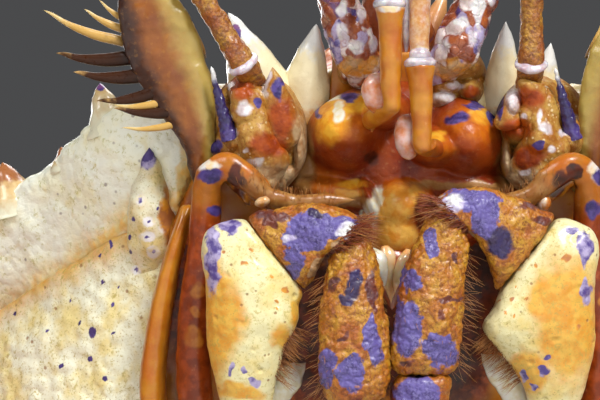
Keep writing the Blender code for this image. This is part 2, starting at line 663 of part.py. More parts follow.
def make_maxilliped(side_name, hand, lift):
    """An outer mouthpart: ischium, broad merus, carpus and the palp hanging from it, raised by lift."""
    def at(x, up, out):
        return face(hand * -x, up, out)

    def way(x, up, out):
        return face_way(hand * -x, up, out)

    foot = [
        (at(-12.5, -34.5, PLATE_FRONT + GAP), 3.6, 3.6, FACE_OUT),
        (at(-12.8, -34.3, -8.5), 3.4, 3.4, FACE_OUT),
        (at(-14.6, -32.8, -4.4), 3.4, 3.4, way(-0.5, 0.35, 0.8)),
        (at(-17.4, -30.6, -1.8), 3.2, 3.2, way(-0.7, 0.65, 0.4)),
        (at(-19.4, -28.4, -0.6), 2.7, 2.7, way(-0.3, 0.93, 0.2)),
    ]
    crest = [
        (at(-17.0, -30.2, -3.6), 1.4, 1.4, way(0.5, 0.86, 0)),
        (at(-15.2, -26.2, -4.8), 1.8, 1.4, way(0.55, 0.83, 0)),
        (at(-12.9, -22.6, -4.8), 1.3, 1.1, way(0.55, 0.83, 0)),
        (at(-11.8, -20.8, -4.8), 0, 0, way(0.55, 0.83, 0)),
    ]
    ischium = limb(f"maxilliped_ischium_{side_name}", foot, "cream", FACE_X, sides=10, trim=(False, True))
    fuse(ischium, [limb("crest", crest, "cream", way(1, 0, 0), sides=6, tip=True, trim=(False, False))])
    joint, joint_way = MERUS_JOINT
    merus = [
        (at(-19.4, -28.4, -0.6), 2.6, 2.6, way(-0.3, 0.93, 0.2)),
        (at(-19.9, -25.2, 0.3), 3.5, 2.9, way(-0.05, 1, 0)),
        (at(-20.1, -19.5, 1.2), 4.8, 3.5, way(0.12, 1, 0)),
        (at(-19.2, -13.6, 1.6), 6.3, 3.9, way(0.36, 0.93, 0)),
        (at(-19.0, -8.6, 1.4), 7.5, 3.5, way(0.64, 0.77, 0)),
        (at(*joint), 6.2, 2.9, way(*joint_way)),
    ]
    limb(f"maxilliped_merus_{side_name}", merus, "cream", way(1, 0, 0), sides=12, trim=(True, True))
    palp, palp_way = PALP_JOINT
    palp = (palp[0] + lift * 0.35, palp[1] + lift, palp[2])
    carpus = [
        (at(*joint), 6.1, 2.8, way(*joint_way)),
        (at(-13.4, -5.8 + lift * 0.3, 2.0), 5.2, 3.1, way(0.95, 0.3, 0)),
        (at(-10.2, -4.6 + lift * 0.7, 2.8), 4.0, 3.1, way(1, -0.1, 0)),
        (at(-8.1 + lift * 0.2, -4.3 + lift * 0.9, 3.2), 3.1, 2.8, way(0.85, -0.5, 0)),
        (at(*palp), 2.7, 2.6, way(*palp_way)),
    ]
    limb(f"maxilliped_carpus_{side_name}", carpus, "orange", way(0, 1, 0), sides=10, trim=(True, True))
    bottom = -25.6 + lift * 1.15
    end = (-6.1 + lift * 1.1, bottom, 4.6)
    hang = [
        (at(*palp), 2.6, 2.6, way(*palp_way)),
        (at(palp[0] + 0.5, palp[1] - 2.8, 4.0), 3.2, 2.9, way(0.2, -1, 0)),
        (at(-6.3 + lift * 0.8, palp[1] - 7.0, 4.6), 3.9, 3.2, way(0, -1, 0)),
        (at(-6.2 + lift * 0.95, (palp[1] + bottom) / 2 - 3.4, 4.9), 4.3, 3.3, way(0, -1, 0)),
        (at(end[0], bottom + 3.0, 4.8), 4.3, 3.1, way(0, -1, 0)),
        (at(*end), 3.6, 2.6, way(0, -1, 0)),
    ]
    limb(f"maxilliped_propodus_{side_name}", hang, "orange", way(1, 0, 0), sides=10, trim=(True, True))
    finger = [
        (at(*end), 3.5, 2.5, way(0, -1, 0)),
        (at(end[0] + lift * 0.2, bottom - 3.0, 4.5), 3.6, 2.6, way(0, -1, 0)),
        (at(end[0] + lift * 0.2 - 0.2, bottom - 7.0, 3.8), 2.7, 2.1, way(-0.05, -1, -0.2)),
        (at(end[0] - 0.5, bottom - 11.0, 2.6), 0, 0, way(-0.1, -1, -0.3)),
    ]
    name = f"maxilliped_dactyl_{side_name}"
    limb(name, finger, "violet", way(1, 0, 0), sides=8, tip=True, trim=(True, False))
    stem = [
        (at(-25.0, -33.0, PLATE_FRONT + GAP), 2.2, 2.2, FACE_OUT),
        (at(-25.4, -32.4, -9.4), 2.2, 2.2, way(0, 0.6, 0.8)),
        (at(-26.8, -28.0, -7.0), 2.3, 2.2, way(0, 1, 0.2)),
        (at(-27.1, -17.0, -6.6), 2.4, 2.1, way(0.05, 1, 0)),
        (at(-25.8, -6.0, -5.8), 2.2, 2.0, way(0.08, 1, 0)),
        (at(-25.4, 0.2, -4.4), 2.0, 1.8, way(0.1, 0.9, 0)),
        (at(-24.9, 3.0, -3.0), 1.8, 1.5, way(0.6, 0.8, 0)),
        (at(-22.8, 4.4, -2.0), 1.8, 1.4, way(1, 0.0, 0)),
        (at(-20.0, 2.9, -1.8), 1.6, 1.3, way(0.8, -0.6, 0)),
        (at(-17.2, 0.5, -2.4), 1.3, 1.1, way(0.85, -0.5, 0)),
        (at(-14.0, -0.3, -2.9), 1.1, 0.9, way(1, -0.05, 0)),
        (at(-8.6, -0.1, -3.2), 0.9, 0.7, way(1, 0, 0)),
        (at(-5.6, 0.0, -3.4), 0, 0, way(1, 0, 0)),
    ]
    name = f"maxilliped_exopod_{side_name}"
    limb(name, stem, "orange", way(1, 0, 0), sides=8, tip=True, trim=(False, False), turning=True)


LEGS = {   # facet of the breast plate that carries it, way it goes, then reach and height of each joint
    "leg_1": (1, 20, [(22, 57), (50, 65), (80, 83), (111, 76), (141, 35), (160, 0)]),
    "leg_2": (2, -6, [(22, 47.5), (50, 53), (81, 75), (113, 68), (144, 30), (162, 0)]),
    "leg_3": (3, -34, [(20, 38), (48, 34.5), (83, 57), (112, 53), (140, 24), (155, 0)]),
}
FOOT = 2.0     # radius of the flat that each foot stands on


def facet(number, hand, height, share=0.5):
    """A place on one side facet of the breast plate, share of the way along it, and its outward way."""
    (x0, y0), (x1, y1) = THORAX_HALF[number], THORAX_HALF[number + 1]
    way = body_way(hand * (y1 - y0), -(x1 - x0), 0)
    return body(hand * (x0 + (x1 - x0) * share), y0 + (y1 - y0) * share, height), way


def knob_row(start, end, up, count, length, radius, depth, chance):
    """Knobs along the top of a leg piece, raked towards its tip."""
    pieces = []
    along = (end - start).normalized()
    for i in range(count):
        share = (i + 0.8) / (count + 0.6)
        base = start.lerp(end, share) + up * depth
        size = radius * chance.uniform(0.85, 1.1)
        pieces.append(spine(base, up + along * 0.35, length * chance.uniform(0.8, 1.15), size, sunk=2.2))
    return pieces


def make_leg(name, side_name, hand, plan):
    """A walking leg: coxa to merus in one piece, carpus and propodus in the next, then the claw-like tip."""
    number, turn, profile = plan
    root, root_way = facet(number, hand, -32)
    outward = Vector((hand * math.cos(math.radians(turn)), -math.sin(math.radians(turn)), 0))
    chance = random.Random(number * 10 + (hand > 0))
    below = Vector((root.x, root.y, 0))
    points = [root] + [below + outward * reach + Vector((0, 0, z)) for reach, z in profile]
    across = outward.cross(Vector((0, 0, 1)))
    knee_way = ((points[3] - points[2]).normalized() + (points[4] - points[3]).normalized()).normalized()
    toe_way = ((points[5] - points[4]).normalized() + (points[6] - points[5]).normalized()).normalized()
    thigh = [
        (root + root_way * GAP, 8.6, 7.8, root_way),
        (points[1], 8.6, 8.6),
        (points[1].lerp(points[2], 0.5), 9.6, 9.4),
        (points[2], 10.6, 10.6),
        (points[2].lerp(points[3], 0.6), 11.2, 11.4),
        (points[3], 9.6, 9.4, knee_way),
    ]
    limb_up = across.cross(outward) * (1 if across.cross(outward).z > 0 else -1)
    piece = limb(f"{name}_{side_name}_merus", thigh, "shell", across, sides=8, trim=(False, True))
    rows = []
    for lean in (-0.55, 0.55):
        up = (limb_up + across * lean).normalized()
        rows += knob_row(points[2].lerp(points[1], 0.1), points[3], up, 4, 3.4, 2.5, 8.8, chance)
    fuse(piece, rows)
    shin = [
        (points[3], 9.4, 9.2, knee_way),
        (points[3].lerp(points[4], 0.5), 10.6, 11.2),
        (points[4], 9.4, 9.6),
        (points[4].lerp(points[5], 0.3), 9.0, 9.8),
        (points[4].lerp(points[5], 0.7), 8.4, 8.8),
        (points[5], 6.6, 6.8, toe_way),
    ]
    piece = limb(f"{name}_{side_name}_shin", shin, "shell", across, sides=8, trim=(True, True))
    rows = []
    for lean in (-0.55, 0.55):
        up = (limb_up + across * lean + outward * 0.25).normalized()
        rows += knob_row(points[3], points[4], up, 3, 3.4, 2.5, 9.6, chance)
        low_up = (limb_up * 0.5 + across * lean + outward * 0.8).normalized()
        rows += knob_row(points[4].lerp(points[5], 0.1), points[5], low_up, 4, 2.8, 2.2, 7.4, chance)
    fuse(piece, rows)
    tip = [
        (points[5], 6.4, 6.6, toe_way),
        (points[5].lerp(points[6], 0.35), 5.4, 6.0),
        (points[5].lerp(points[6], 0.7), 3.6, 4.0),
        (Vector((points[6].x, points[6].y, 1.4)), 2.5, 2.7, Vector((0, 0, -1))),
        (Vector((points[6].x, points[6].y, 0)), FOOT, FOOT, Vector((0, 0, -1))),
    ]
    limb(f"{name}_{side_name}_dactyl", tip, "shell", across, sides=8, trim=(True, False))


CLAWS = {   # size of the hand on each side; the right claw is the larger, crushing one
    "right": 1.0,
    "left": 0.84,
}


def make_claw(side_name, hand):
    """A cheliped: arm, wrist, hand with its fixed finger, and the movable finger."""
    size = CLAWS[side_name]
    root, root_way = facet(0, hand, -33, 0.68)
    shift = Vector((0, BODY_Y, 0))
    low = body(hand * 52, -38, -42)
    elbow = Vector((hand * 86, -64, 62)) + shift
    wrist = Vector((hand * 97, -101, 55)) + shift
    hinge = Vector((hand * 90, -101 - 50 * size, 55 - 26 * size)) + shift
    tips = Vector((hand * 78, -101 - 84 * size, 55 - 45 * size)) + shift
    elbow_way = ((elbow - low).normalized() + (wrist - elbow).normalized()).normalized()
    wrist_way = ((wrist - elbow).normalized() + (hinge - wrist).normalized()).normalized()
    along = (tips - hinge).normalized()
    side = Vector((hand, 0.2, 0)).normalized()
    up = side.cross(along)
    up = up if up.z > 0 else -up
    chance = random.Random(40 + (hand > 0))
    arm = [
        (root + root_way * GAP, 7.0, 7.0, root_way),
        (root.lerp(low, 0.45), 7.6, 7.6),
        (low, 9.0, 8.6),
        (low.lerp(elbow, 0.6), 11.0, 11.0),
        (elbow, 9.6, 9.6, elbow_way),
    ]
    piece = limb(f"claw_{side_name}_arm", arm, "shell", Vector((0, 1, 0)), sides=8, trim=(False, True))
    fuse(piece, knob_row(low, elbow, Vector((0, -0.3, 1)).normalized(), 4, 3.6, 2.6, 8.4, chance))
    cuff = [
        (elbow, 9.4, 9.4, elbow_way),
        (elbow.lerp(wrist, 0.5), 12.5, 12.5),
        (wrist, 10.0 * size, 11.0 * size, wrist_way),
    ]
    piece = limb(f"claw_{side_name}_wrist", cuff, "shell", side, sides=8, trim=(True, True))
    rows = knob_row(elbow, wrist, (up + side * 0.6).normalized(), 3, 4.0, 2.8, 10.5, chance)
    rows += knob_row(elbow, wrist, (up - side * 0.4).normalized(), 3, 4.0, 2.8, 10.5, chance)
    fuse(piece, rows)
    fixed = hinge - up * 6.5 * size
    palm = [
        (wrist, 9.8 * size, 10.8 * size, wrist_way),
        (wrist.lerp(hinge, 0.35), 12.5 * size, 17.0 * size),
        (wrist.lerp(hinge, 0.75), 12.0 * size, 17.5 * size),
        (fixed.lerp(hinge, 0.15), 10.5 * size, 13.0 * size, along),
        (fixed.lerp(hinge, 0.1) + along * 3 * size - up * 2.4 * size, 8.0 * size, 7.6 * size, along),
        (fixed.lerp(tips, 0.5) - up * 2.2 * size, 6.2 * size, 5.6 * size, along),
        (tips - up * 1.4 * size, 0, 0, along),
    ]
    piece = limb(f"claw_{side_name}_hand", palm, "shell", side, sides=10, tip=True, trim=(True, False))
    rows = []
    for lean in (-0.5, 0.15, 0.8):
        lean_way = (up + side * lean).normalized()
        rows += knob_row(wrist, hinge, lean_way, 4, 4.0 * size, 2.8, 13.5 * size, chance)
    fuse(piece, rows)
    lift = hinge + up * 7.6 * size + along * 7.4 * size
    finger = [
        (lift, 6.2 * size, 5.6 * size, along),
        (lift + along * 7 * size + up * 1.2 * size, 6.0 * size, 5.6 * size, along),
        (lift.lerp(tips, 0.62) + up * 3.6 * size, 4.6 * size, 4.4 * size, along),
        (tips + up * 1.4 * size + along * 1.0, 0, 0, along),
    ]
    limb(f"claw_{side_name}_finger", finger, "shell", side, sides=8, tip=True, trim=(False, False))


def main():
    for old in list(bpy.data.objects):
        bpy.data.objects.remove(old)
    recess = hide_cutter(plate_prism("face_recess", GAP, PLATE_BACK - GAP, 30))
    make_carapace(recess)
    make_thorax(recess)
    make_abdomen()
    make_face_plate()
    make_mouth()
    for side_name, hand, lift in (("right", -1, 0.0), ("left", 1, 3.0)):
        make_cheek(f"cheek_{side_name}", hand, recess)
        make_eye(side_name)
        make_antennule(side_name)
        make_antenna(side_name, hand)
        make_maxilliped(side_name, hand, lift)
        make_claw(side_name, hand)
        for name, plan in LEGS.items():
            make_leg(name, side_name, hand, plan)
    bpy.data.objects.remove(recess)


main()
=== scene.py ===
import math
import random

import bpy
import numpy as np
from mathutils import Matrix


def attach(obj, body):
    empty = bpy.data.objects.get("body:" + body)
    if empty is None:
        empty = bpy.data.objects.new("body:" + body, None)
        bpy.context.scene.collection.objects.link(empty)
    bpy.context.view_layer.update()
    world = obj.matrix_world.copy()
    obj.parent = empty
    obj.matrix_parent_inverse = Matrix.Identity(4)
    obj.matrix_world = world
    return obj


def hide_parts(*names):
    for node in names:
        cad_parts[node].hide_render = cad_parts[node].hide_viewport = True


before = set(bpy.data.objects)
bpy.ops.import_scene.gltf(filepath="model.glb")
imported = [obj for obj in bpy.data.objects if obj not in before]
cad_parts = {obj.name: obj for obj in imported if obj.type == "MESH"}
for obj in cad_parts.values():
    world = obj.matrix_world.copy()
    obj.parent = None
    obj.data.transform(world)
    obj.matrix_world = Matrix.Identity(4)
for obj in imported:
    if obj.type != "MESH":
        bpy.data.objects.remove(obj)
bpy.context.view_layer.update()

# A king crab's looks. Lengths are millimetres until a mesh is made. The crab faces -Y, and its right side,
# at -X, is on the left of the picture. Three sets of places are used: the world, the carapace seen level
# (body), and the plane over the mouthparts (face: across, up, out of it).

print("frame loaded")

pose = {
    "pitch": math.radians(20),          # how far the front of the body is raised
    "tilt": math.radians(22),           # how far the face looks down
    "height": 88.0,                     # carapace margin above the floor
    "along": 35.8,                      # body's middle, towards the back
    "faceOrigin": (0.0, -78.4, -20.5),  # in the body's own places
    "plateFront": -13.0,                # front of the plate behind the mouthparts
}

hands = (("right", -1), ("left", 1))    # the crab's sides and the ways they lie across

view = {
    "centre": (-13.0, 0.0),             # face place in the middle of the picture
    "distance": 190.0,                  # camera to that place
    "mmPerPixel": 0.13,                 # scale there
    "pictureWidth": 600,
    "pictureHeight": 400,
}


def levelToWorld(points):
    # from the level body to the world
    c, s = math.cos(pose["pitch"]), math.sin(pose["pitch"])
    x, y, z = points[..., 0], points[..., 1], points[..., 2]
    return np.stack([x, pose["along"] + y * c + z * s, pose["height"] - y * s + z * c], axis=-1)


def body(x, y, z):
    return levelToWorld(np.array([x, y, z], dtype=float))


def unit(v):
    v = np.asarray(v, dtype=float)
    return v / np.maximum(np.linalg.norm(v, axis=-1, keepdims=True), 1e-9)


def bodyWay(x, y, z):
    return unit(body(x, y, z) - body(0, 0, 0))


faceCentre = body(*pose["faceOrigin"])
faceAxes = np.array([
    [1, 0, 0],
    [0, -math.sin(pose["tilt"]), math.cos(pose["tilt"])],
    [0, -math.cos(pose["tilt"]), -math.sin(pose["tilt"])],
])


def face(x, up, out):
    return faceCentre + np.array([x, up, out], dtype=float) @ faceAxes


def faceWay(x, up, out):
    return unit(np.array([x, up, out], dtype=float) @ faceAxes)


def picturePlace(points):
    # where points of the crab fall in the picture, in pixels
    local = (points - faceCentre) @ faceAxes.T
    near = view["distance"] / (view["distance"] - local[..., 2])
    px = view["pictureWidth"] / 2 + (local[..., 0] - view["centre"][0]) / view["mmPerPixel"] * near
    py = view["pictureHeight"] / 2 - (local[..., 1] - view["centre"][1]) / view["mmPerPixel"] * near
    return px, py


def fromPicture(px, py, out):
    # the face place that falls on a picture place, at a distance out of the face
    scale = view["mmPerPixel"] * (view["distance"] - out) / view["distance"]
    x = view["centre"][0] + (px - view["pictureWidth"] / 2) * scale
    return x, view["centre"][1] + (view["pictureHeight"] / 2 - py) * scale, out


def bodyPlace(points):
    # the way back from the world to the level body
    c, s = math.cos(pose["pitch"]), math.sin(pose["pitch"])
    y, z = points[..., 1] - pose["along"], points[..., 2] - pose["height"]
    return np.stack([points[..., 0], y * c - z * s, y * s + z * c], axis=-1)


# Noise, made from whole numbers so that it is the same on every run

def scramble(i, j, k, seed):
    n = i * 73856093 ^ j * 19349663 ^ k * 83492791 ^ seed * 2654435
    n = (n ^ (n >> 13)) * 1274126177 & 0x7FFFFFFF
    n = (n ^ (n >> 15)) * 668265263 & 0x7FFFFFFF
    return (n ^ (n >> 16) & 0x7FFFFFFF) % 65536 / 65535.0


def cloud(points, size, seed=0):
    # smooth noise from -1 to 1 with lumps about size across
    q = points / size
    cell = np.floor(q).astype(np.int64)
    f = q - cell
    f = f * f * (3 - 2 * f)
    total = np.zeros(points.shape[:-1])
    for corner in range(8):
        step = np.array([corner & 1, corner >> 1 & 1, corner >> 2 & 1])
        weight = np.prod(np.where(step == 1, f, 1 - f), axis=-1)
        at = cell + step
        total += weight * scramble(at[..., 0], at[..., 1], at[..., 2], seed)
    return total * 2 - 1


def grains(points, size, seed=0, reach=0.62):
    # round grains: 1 at the middle of each, 0 between them
    q = points / size
    cell = np.floor(q).astype(np.int64)
    nearest = np.full(points.shape[:-1], 9.0)
    for a in (-1, 0, 1):
        for b in (-1, 0, 1):
            for c in (-1, 0, 1):
                at = cell + np.array([a, b, c])
                spot = np.stack([scramble(at[..., 0], at[..., 1], at[..., 2], seed + n)
                                 for n in (11, 23, 37)], -1)
                nearest = np.minimum(nearest, np.linalg.norm(q - at - spot, axis=-1))
    return np.sqrt(np.clip(1 - (nearest / reach) ** 2, 0, 1))


# Surfaces. Each is a grid of points: rows run along the piece, and columns go round it and join up.

def spline(knots, values, t):
    # a smooth curve through values at knots, its slopes taken from the neighbours on either side
    values = np.asarray(values, dtype=float)
    slopes = np.gradient(values, knots, axis=0)
    i = np.clip(np.searchsorted(knots, t, side="right") - 1, 0, len(knots) - 2)
    width = knots[i + 1] - knots[i]
    u = ((t - knots[i]) / width)[:, None]
    width = width[:, None]
    a, b = values[i], values[i + 1]
    return (a * (2 * u ** 3 - 3 * u ** 2 + 1) + b * (3 * u ** 2 - 2 * u ** 3)
            + width * (slopes[i] * (u ** 3 - 2 * u ** 2 + u) + slopes[i + 1] * (u ** 3 - u ** 2)))


def limb(stations, side, around=64, along=60, edge=0.6, power=2.0, turning=False):
    # Stations are (centre, half width along side, half width across[, way it faces]). Sections are rounded
    # ellipses whose exponent is power, spaced along a spline, and edge is the radius of the rounded ends.
    centres = np.array([s[0] for s in stations], dtype=float)
    halves = np.array([s[1:3] for s in stations], dtype=float)
    normals = np.array([
        unit(s[3]) if len(s) > 3 else unit(centres[min(i + 1, len(centres) - 1)] - centres[max(i - 1, 0)])
        for i, s in enumerate(stations)
    ])
    knots = np.concatenate([[0], np.cumsum(np.linalg.norm(np.diff(centres, axis=0), axis=1))])
    length = knots[-1]
    open0, open1 = halves[0].max() > 0.01, halves[-1].max() > 0.01
    bend = np.linspace(0, math.pi / 2, 6)
    t, shrink, scale = [], [], []
    if open0:
        cap = min(edge, halves[0].min() * 0.6)
        t += [0.0] * 5 + list(cap * (1 - np.cos(bend[1:])))
        shrink += [cap] * 5 + list(cap * (1 - np.sin(bend[1:])))
        scale += [0.001, 0.3, 0.6, 0.85, 1.0] + [1.0] * 5
    start = t[-1] if t else 0.0
    last = length - (min(edge, halves[-1].min() * 0.6) if open1 else 0)
    inner = np.linspace(start, last, along + 1)[1:-1] if open0 else np.linspace(start, last, along + 1)[:-1]
    t += list(inner)
    shrink += [0.0] * len(inner)
    scale += [1.0] * len(inner)
    if open1:
        cap = length - last
        t += list(length - cap * (1 - np.cos(bend[::-1][:-1]))) + [length] * 5
        shrink += list(cap * (1 - np.sin(bend[::-1][:-1]))) + [cap] * 5
        scale += [1.0] * 5 + [1.0, 0.85, 0.6, 0.3, 0.001]
    else:
        t.append(length)
        shrink.append(0.0)
        scale.append(1.0)
    t, shrink, scale = np.array(t), np.array(shrink), np.array(scale)
    middle, half = spline(knots, centres, t), np.maximum(spline(knots, halves, t), 0.0)
    half = np.maximum(half - shrink[:, None], 0.0) * scale[:, None]
    facing = unit(spline(knots, normals, t))
    sides = np.empty_like(facing)
    current = unit(side)
    for i, way in enumerate(facing):
        current = current if turning else unit(side)
        current = unit(current - current.dot(way) * way)
        sides[i] = current
    others = np.cross(facing, sides)
    turn = np.linspace(0, 2 * math.pi, around, endpoint=False)
    c = np.sign(np.cos(turn)) * np.abs(np.cos(turn)) ** (2 / power)
    s = np.sign(np.sin(turn)) * np.abs(np.sin(turn)) ** (2 / power)
    return (middle[:, None] + sides[:, None] * (half[:, 0:1] * c)[..., None]
            + others[:, None] * (half[:, 1:2] * s)[..., None])


def outwards(grid):
    # the surface's outward way at each point, from its two slopes
    down = np.gradient(grid, axis=0)
    across = np.roll(grid, -1, axis=1) - np.roll(grid, 1, axis=1)
    way = unit(np.cross(across, down))
    centre = grid.mean(axis=1, keepdims=True)
    return way * np.sign(np.sum(way * (grid - centre), axis=-1).mean() or 1)


def raised(grid, height):
    # the surface with each point moved out by height, which fades to nothing at the two poles
    fade = np.ones(len(grid))
    fade[[0, 1, -2, -1]] = (0, 0.5, 0.5, 0)
    return grid + outwards(grid) * (height * fade[:, None])[..., None]


def spike(base, way, length, radius, sunk=2.0, around=12, along=9, waist=0.7, curl=0.0, curlWay=(0, 0, 1)):
    # a tapering spine: its radius falls from the root by a power of the distance, and it leans over by curl
    way = unit(way)
    side = unit(np.cross(way, (0.31, 0.87, 0.38)))
    other = np.cross(way, side)
    u = np.concatenate([[0, 0.0], np.linspace(0, 1, along)])
    full = radius * (1 - np.clip(u, 0, 1) ** (1 / (2 - waist) * 2)) ** 0.85
    full[:2] = (0, radius)
    middle = base + way * (u * (length + sunk) - sunk)[:, None] + unit(curlWay) * (curl * u ** 2)[:, None]
    turn = np.linspace(0, 2 * math.pi, around, endpoint=False)
    ringShape = side * np.cos(turn)[:, None] + other * np.sin(turn)[:, None]
    return middle[:, None] + ringShape[None] * full[:, None, None]


def pebble(spot, halves, tilt=0.0, rough=0.12, around=44):
    # an ellipsoid at a picture place: half width and height in pixels, depth in millimetres, turned by tilt
    scale = view["mmPerPixel"] * (view["distance"] - spot[2]) / view["distance"]
    turns = np.linspace(0, 2 * math.pi, around, endpoint=False)
    down, turn = np.meshgrid(np.linspace(0, math.pi, 26), turns, indexing="ij")
    a, b = halves[0] * scale * np.sin(down) * np.cos(turn), halves[1] * scale * np.cos(down)
    c, s = math.cos(math.radians(tilt)), math.sin(math.radians(tilt))
    local = np.stack([a * c - b * s, a * s + b * c, halves[2] * np.sin(down) * np.sin(turn)], axis=-1)
    grid = (local + np.array(fromPicture(*spot))) @ faceAxes + faceCentre
    return raised(grid, rough * cloud(grid, 1.3, 17) + rough * 0.6 * grains(grid, 0.9, 18, 0.6))


def fleshy(middle, reach, lumps, floor, soft=0.35, rough=0.10, rows=130, cols=240):
    # Domes run together over an oval of the picture, with a flat back. A lump is its place, its top out of
    # the face, its half width and height in pixels, how far it falls at its edge, and its tilt. Its height
    # drops by the distance to the power 2.4. The lumps join by the logarithm of their summed exponentials.
    share = np.concatenate([np.linspace(0.001, 1, rows), [1.0, 0.9, 0.6, 0.3, 0.001]])[:, None]
    front = (np.arange(len(share)) < rows)[:, None]
    turn = np.linspace(0, 2 * math.pi, cols, endpoint=False)
    px = middle[0] + reach[0] * share * np.cos(turn)
    py = middle[1] - reach[1] * share * np.sin(turn)
    total = np.zeros(px.shape)
    for cx, cy, top, wide, tall, deep, tilt in lumps:
        c, s = math.cos(math.radians(tilt)), math.sin(math.radians(tilt))
        across, up = px - cx, cy - py
        away = np.hypot((across * c + up * s) / wide, (up * c - across * s) / tall)
        total += np.exp(np.maximum(top - deep * away ** 2.4, floor - 6) / soft)
    out = np.maximum(soft * np.log(total), floor) - 3.0 * share ** 14
    flat = np.stack(fromPicture(px, py, out), axis=-1)
    out = out + rough * (2.0 * cloud(flat, 2.6, 17) + cloud(flat, 1.0, 18) + 0.7 * grains(flat, 0.9, 19, 0.6))
    out = np.where(front, out, floor - 3.6)
    return np.stack(fromPicture(px, py, out), axis=-1) @ faceAxes + faceCentre


def rings(rows, side=1):
    # Limb stations at face places: across, up, out, the two half widths, and the way faced if it is given.
    # A side of -1 mirrors them.
    made = []
    for x, up, out, half, deep, *way in rows:
        station = (face(side * x, up, out), half, deep)
        made.append(station + (faceWay(side * way[0], way[1], way[2]),) if way else station)
    return made


def rise(grid):
    # 0 at a spine's root and 1 at its tip
    return np.repeat(np.linspace(0, 1, len(grid))[:, None], grid.shape[1], axis=1)


def risen(grids):
    return {"rise": [rise(g) for g in grids]}


def build(name, grids, material, marks=None, replaced=None):
    # One object from closed grids, whose first and last rows are poles. marks are named values per point.
    places, faces, values = [], [], {key: [] for key in (marks or {})}
    offset = 0
    for number, grid in enumerate(grids):
        rows, cols = grid.shape[:2]
        flat = grid[1:-1].reshape(-1, 3)
        places += [flat, grid[0].mean(axis=0)[None], grid[-1].mean(axis=0)[None]]
        index = np.arange((rows - 2) * cols).reshape(rows - 2, cols) + offset
        right = np.roll(index, -1, axis=1)
        quads = np.stack([index[:-1], right[:-1], right[1:], index[1:]], axis=-1).reshape(-1, 4)
        top, bottom = offset + flat.shape[0], offset + flat.shape[0] + 1
        first = np.stack([np.full(cols, top), right[0], index[0]], axis=-1)
        final = np.stack([np.full(cols, bottom), index[-1], right[-1]], axis=-1)
        centre = flat.mean(axis=0)
        low, high = grid[:-1], grid[1:]
        step = np.roll(grid, -1, axis=1)[:-1] - low
        volume = np.sum(np.cross(step, high - low) * (low - centre))
        if volume < 0:
            quads, first, final = quads[:, ::-1], first[:, ::-1], final[:, ::-1]
        faces += quads.tolist() + first.tolist() + final.tolist()
        for key in values:
            mark = np.broadcast_to(marks[key][number], grid.shape[:2])
            values[key] += [mark[1:-1].reshape(-1), [mark[0].mean()], [mark[-1].mean()]]
        offset += flat.shape[0] + 2
    mesh = bpy.data.meshes.new(name)
    mesh.from_pydata((np.concatenate(places) * 0.001).tolist(), [], faces)
    for key, found in values.items():
        mesh.attributes.new(key, "FLOAT", "POINT").data.foreach_set("value", np.concatenate(found))
    mesh.materials.append(material)
    mesh.shade_smooth()
    made = bpy.data.objects.new(name, mesh)
    bpy.context.scene.collection.objects.link(made)
    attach(made, "root")
    if replaced:
        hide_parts(replaced)
    return made


def stains(points, patches, ragged=5.0):
    # How deep each point lies in the nearest patch, from 0 to 1 with the edge at 0.5. A patch is its place in
    # the picture and its half width and height, all in pixels, and its edge is made ragged by noise.
    px, py = picturePlace(points)
    px = px + ragged * (1.5 * cloud(points, 2.4, 5) + 0.8 * cloud(points, 0.9, 7))
    py = py + ragged * (1.5 * cloud(points, 2.2, 6) + 0.8 * cloud(points, 0.8, 9))
    deep = np.full(points.shape[:-1], -1.0)
    for cx, cy, rx, ry in patches:
        deep = np.maximum(deep, 1 - np.sqrt(((px - cx) / rx) ** 2 + ((py - cy) / ry) ** 2))
    return np.clip(0.5 + deep, 0, 1)


def stained(table, names, grids, ragged):
    return {name: [stains(g, table[name], ragged) for g in grids] for name in names}


# Materials. A palette names the colours that several pieces share.

palette = {
    "cream": (0.76, 0.58, 0.22), "bone": (0.80, 0.71, 0.45), "amber": (0.66, 0.29, 0.03),
    "orange": (0.50, 0.12, 0.009), "rustAndShade": (0.14, 0.022, 0.005), "violet": (0.075, 0.048, 0.215),
    "indigo": (0.025, 0.014, 0.09), "lilac": (0.42, 0.36, 0.56), "tan": (0.42, 0.24, 0.10),
    "milkAndHighlight": (0.70, 0.69, 0.67),
}


